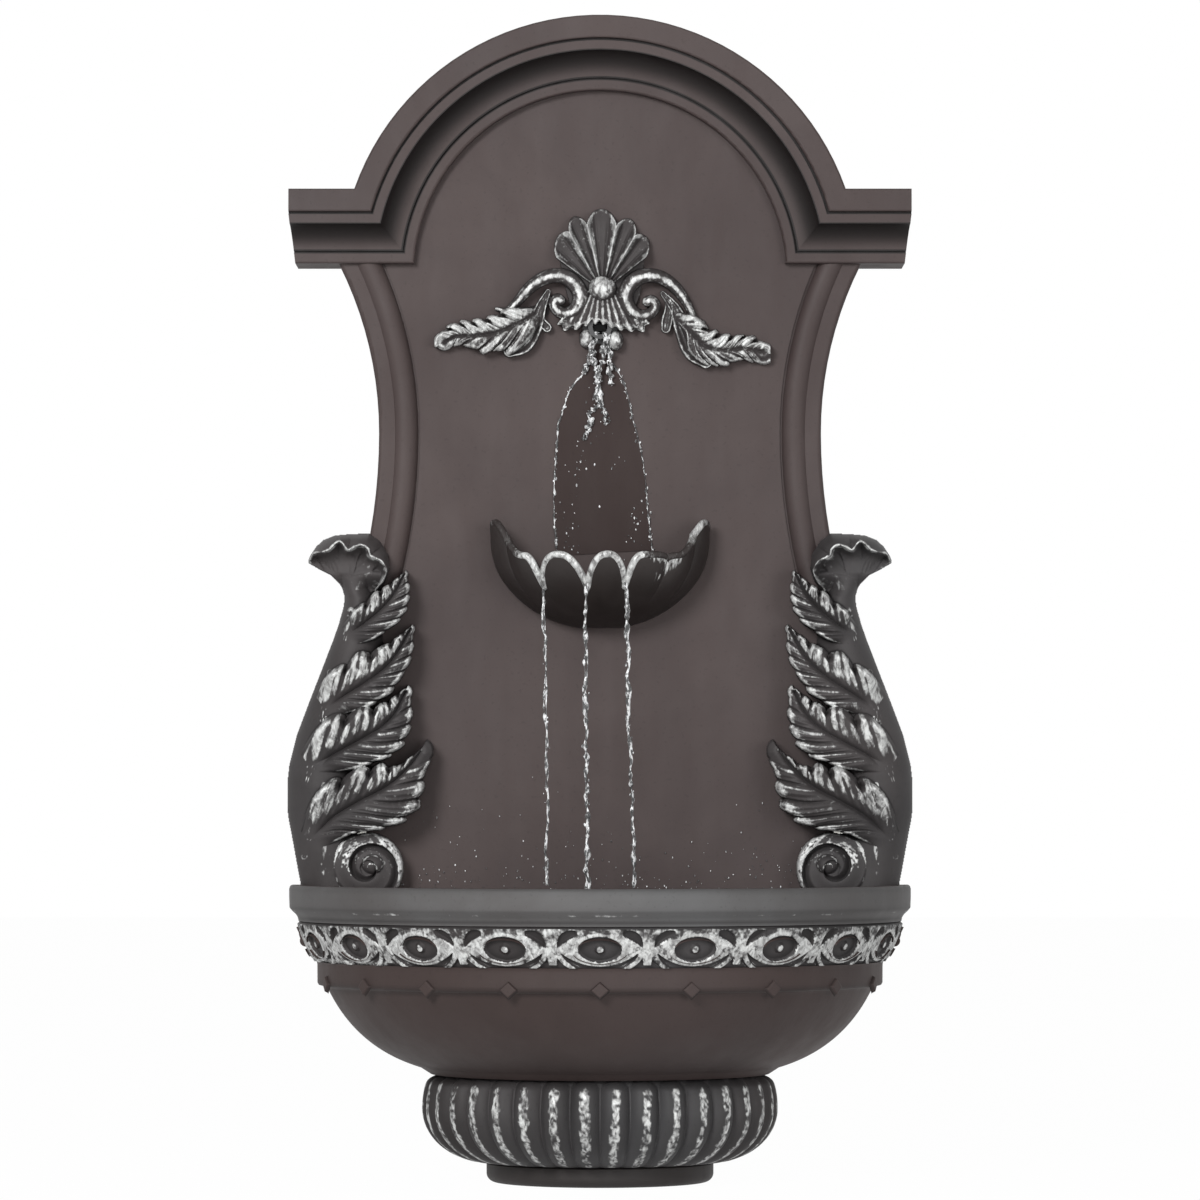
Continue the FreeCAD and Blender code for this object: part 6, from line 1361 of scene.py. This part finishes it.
flank = np.exp(-((angles - 15 - 31 * v) / 5.5) ** 2) * blend_steps(v, 0.30, 0.95)
flank = flank + 0.9 * np.exp(-((angles - 36) / 13) ** 2) * blend_steps(v, 0.82, 0.95)
flank = flank * (0.05 + 1.25 * speckle(angles * 1.6, v * 16.0, 96)) - 0.12
cup = [(outside, flank, True), flipped(inside), bottom, (lip, lip_worn, True)]
carve("shell", cup, shell_finish, replaces=("shell_bowl",), rounds=10, scale=2.0, paint=0.25, flip=True)

# %% [markdown]
# Water runs while the pump does. Falling water is clear, but in a bright room it shows as
# white glints with dark gaps, so its finish is part glass and part broken white: a painted
# highlight for the glints and painted shade for the gaps. The pool is still and nearly all
# glass. A wet field is only darker than a dry one.

# %% Water finishes

def water_finish(name, tint, roughness, transmission, glinting=True):
    material, tree = new_finish(name)
    spot = tree.place((1.0, 1.0, 0.4))
    ripple = tree.noise(spot, 320.0, 3.0, 0.6, 0.6)
    # Painted light: this noise splits the water's colour into painted white glints and painted dark gaps
    # between them.
    glint_noise = tree.noise(spot, 520.0, 2.0, 0.6)
    colour = tree.mix(glint_noise.between(0.46, 0.60), shade(tint, 0.10), tint) if glinting else tint
    height = ripple * (0.0012 if glinting else 0.0004)
    bump = tree.node("ShaderNodeBump", {}, {"Height": height, "Strength": 0.9, "Distance": 1.0})
    shader = tree.node("ShaderNodeBsdfPrincipled", {}, {
        "Base Color": colour, "Roughness": roughness + (glint_noise - 0.5) * 0.1,
        "Transmission Weight": transmission, "IOR": 1.33, "Normal": bump})
    tree.node("ShaderNodeOutputMaterial", {}, {"Surface": shader})
    return material


thread_finish = water_finish("running_water", (0.93, 0.94, 0.95), 0.08, 0.35)
drop_finish = water_finish("water_drops", (0.95, 0.96, 0.97), 0.06, 0.15)
pool_finish = water_finish("pool_water", (0.86, 0.89, 0.89), 0.05, 0.96, glinting=False)
film_finish = cast_finish(
    "wet_field", (0.0265, 0.0172, 0.0160), (0.032, 0.0215, 0.0200), (0.029, 0.0208, 0.0200),
    roughness=0.80, grain=0.2)
print("water finishes:", thread_finish.name, drop_finish.name, pool_finish.name)

# %% [markdown]
# A thread of water is a tube whose thickness changes all the way down, and a bead is a
# small stretched drop. A fluid simulation would take long and couldn't be steered to the
# places in the photograph. These get their unevenness from fixed seeds instead.

# %% Threads and drops
FILM_LEFT = [(597, 352), (585, 371), (570, 389), (562, 413), (558, 426), (555, 478),
             (554, 506), (555, 530), (557, 556)]
FILM_RIGHT = [(606, 352), (612.5, 364), (622.5, 379), (628.5, 399), (633.5, 421.5),
              (639.5, 444), (644.5, 474), (648.5, 516), (652, 550)]
FILM_DEPTH, BEAD_DEPTH = 34.7, 35.2
random = np.random.default_rng(7)


def flat_points(line, depth, count):
    """A smooth line of picture places at one depth."""
    return smooth_line([(x, y, depth) for x, y in line], count)


def thread(line, size, seed, count, swing):
    """A broken thread of water down a line of picture places (x, y, depth)."""
    line = smooth_line(line, count)
    step = np.arange(count)
    line[:, 0] += swing * (speckle(step * 0.12, 3.0, seed) - 0.5) * 2
    radii = size * (0.25 + 1.5 * speckle(step * 0.33, 1.0, seed + 1) ** 1.6)
    radii[[0, -1]] = 0.15
    return tube(drawn(line), radii, 10)


def drops(places, sizes, stretch=1.6):
    """Small drops as rings of points, one grid each, stretched downwards."""
    made = []
    for place, size in zip(places, sizes):
        up = np.linspace(-math.pi / 2, math.pi / 2, 7)[None, :]
        turn = np.linspace(0, 2 * math.pi, 9)[:, None]
        x = place[0] + size * np.cos(up) * np.cos(turn)
        y = place[1] + size * np.cos(up) * np.sin(turn)
        z = place[2] + stretch * size * np.sin(up)
        made.append(np.stack(np.broadcast_arrays(x, y, z), axis=-1))
    return made


print("film's edge points:", len(FILM_LEFT) + len(FILM_RIGHT))

# %% [markdown]
# The water leaves the spout as a few plaited threads and spreads over the field as a thin
# tent-shaped film with a beaded edge. It fills the shell, leaves it as three broken threads
# and falls into the pool.

# %% Film and threads
left_edge, right_edge = (flat_points(line, FILM_DEPTH, 60) for line in (FILM_LEFT, FILM_RIGHT))
share = np.linspace(0, 1, 24)[None, :, None]
film = drawn(left_edge[:, None] * (1 - share) + right_edge[:, None] * share)
film[..., 1] -= 0.25 * np.sin(math.pi * share[..., 0])
carve("wet_film", [film], film_finish, paint=0.0, flip=True)

SHELL_THREADS = [[(544, 588, 92), (545, 640, 97), (546, 720, 97), (547, 800, 97), (546, 885, 97)],
                 [(586, 583, 107), (585, 640, 108), (586, 720, 108), (587, 800, 108), (587, 892, 108)],
                 [(626.5, 582, 103), (628, 640, 104), (629, 720, 104), (632, 800, 104), (634, 890, 104)]]
SPOUT_THREADS = [
    ([(598, 331, 46), (593, 345, 44), (593.5, 363, 40), (598, 385, 37), (598, 407, 36)], 2.0),
    ([(604, 331, 46), (604, 350, 44), (601, 372, 40), (599, 392, 37), (600, 405, 36)], 1.8),
    ([(607, 333, 45), (608.5, 350, 42), (609, 366, 38), (611, 384, 36)], 1.5),
    ([(598, 404, 36), (591, 412, 36), (589, 424, 36), (583.5, 440, 35.8)], 1.6),
    ([(601, 400, 36), (604, 410, 36), (606.5, 424, 35.8)], 1.0),
    ([(595, 350, 41), (586, 366, 37), (584, 374, 36)], 1.1)]
threads = []
for seed, line, size in zip((100, 110, 120), SHELL_THREADS, (0.75, 1.25, 1.2)):
    threads += [thread(line, size, seed, 190, 1.2), thread(line, 0.7 * size, seed + 5, 190, 2.6)]
for number, (line, size) in enumerate(SPOUT_THREADS):
    seed = 140 + 10 * number
    threads += [thread(line, size, seed, 90, 2.2), thread(line, 0.6 * size, seed + 5, 90, 4.0)]
for seed, line, size in ((200, left_edge, 0.55), (201, right_edge, 0.45)):
    line = line.copy()
    line[:, 2] = 35.0
    threads.append(thread(line, size, seed, 260, 0.5))
carve("water_threads", threads, thread_finish, paint=0.0, rounds=1)

# %% [markdown]
# Splashed drops sit along the film's edges, in a few clusters on it, low on the field above
# the pool, and beside the three threads. They are scattered by one random generator, and
# become a single piece, since there are hundreds of them.

# %% Drops
CLUSTERS = [  # middle in the picture, spread across and down, number of drops
    (579, 470, 6, 16, 16), (568, 540, 7, 18, 22), (637, 525, 6, 14, 22),
    (600, 462, 22, 22, 10), (600, 400, 10, 30, 18)]
places = []
sizes = []
for line, spread, amount in ((left_edge, 1.0, 70), (right_edge, 1.4, 90)):
    spots = line[random.integers(3, 60, amount)] + random.normal(0, spread, (amount, 3)) * (1, 1, 0)
    places.append(spots)
    sizes.append(0.25 + 0.55 * random.random(amount) ** 2)
for x, y, wide, high, amount in CLUSTERS:
    across, down = random.normal(x, wide, amount), random.normal(y, high, amount)
    places.append(np.stack([across, down, np.full(amount, BEAD_DEPTH)], axis=-1))
    sizes.append(0.22 + 0.45 * random.random(amount) ** 2)
across, down = random.uniform(400, 805, 260), 893 - random.exponential(26, 260)
field_drops = np.stack([across, down, np.full(260, 34.8)], axis=-1)
places.append(field_drops[field_drops[:, 1] > 760])
sizes.append(0.20 + 0.30 * random.random(len(places[-1])) ** 2)
for line in SHELL_THREADS:
    spots = smooth_line(line, 60)[random.integers(10, 60, 26)]
    places.append(spots + random.normal(0, 1.6, spots.shape) * (1, 1, 0))
    sizes.append(0.3 + 0.7 * random.random(26) ** 2)
beads = drops(drawn(np.concatenate(places)), np.concatenate(sizes))
carve("water_drops", beads, drop_finish, paint=0.0, rounds=1)

# %% [markdown]
# The pool is a half disc of clear water just under the rim, with rings round its middle.
# Only the surface is made: the basin hides the rest, and the pump shows through it.

# %% Pool
POOL_RADIUS, POOL_LEVEL, LEDGE_FACE = 196.0, 182.0, -41.0

radius = np.linspace(0.02, 1, 24)[:, None]
turn = np.linspace(-90, 90, 61)[None, :]
ripple = 0.35 * np.sin(radius * 60) * np.exp(-3 * radius)
pool = turned(POOL_RADIUS * radius, turn, POOL_LEVEL + ripple)
pool[..., 1] = np.minimum(pool[..., 1], LEDGE_FACE)
carve("pool", [pool], pool_finish, paint=0.0, flip=True)
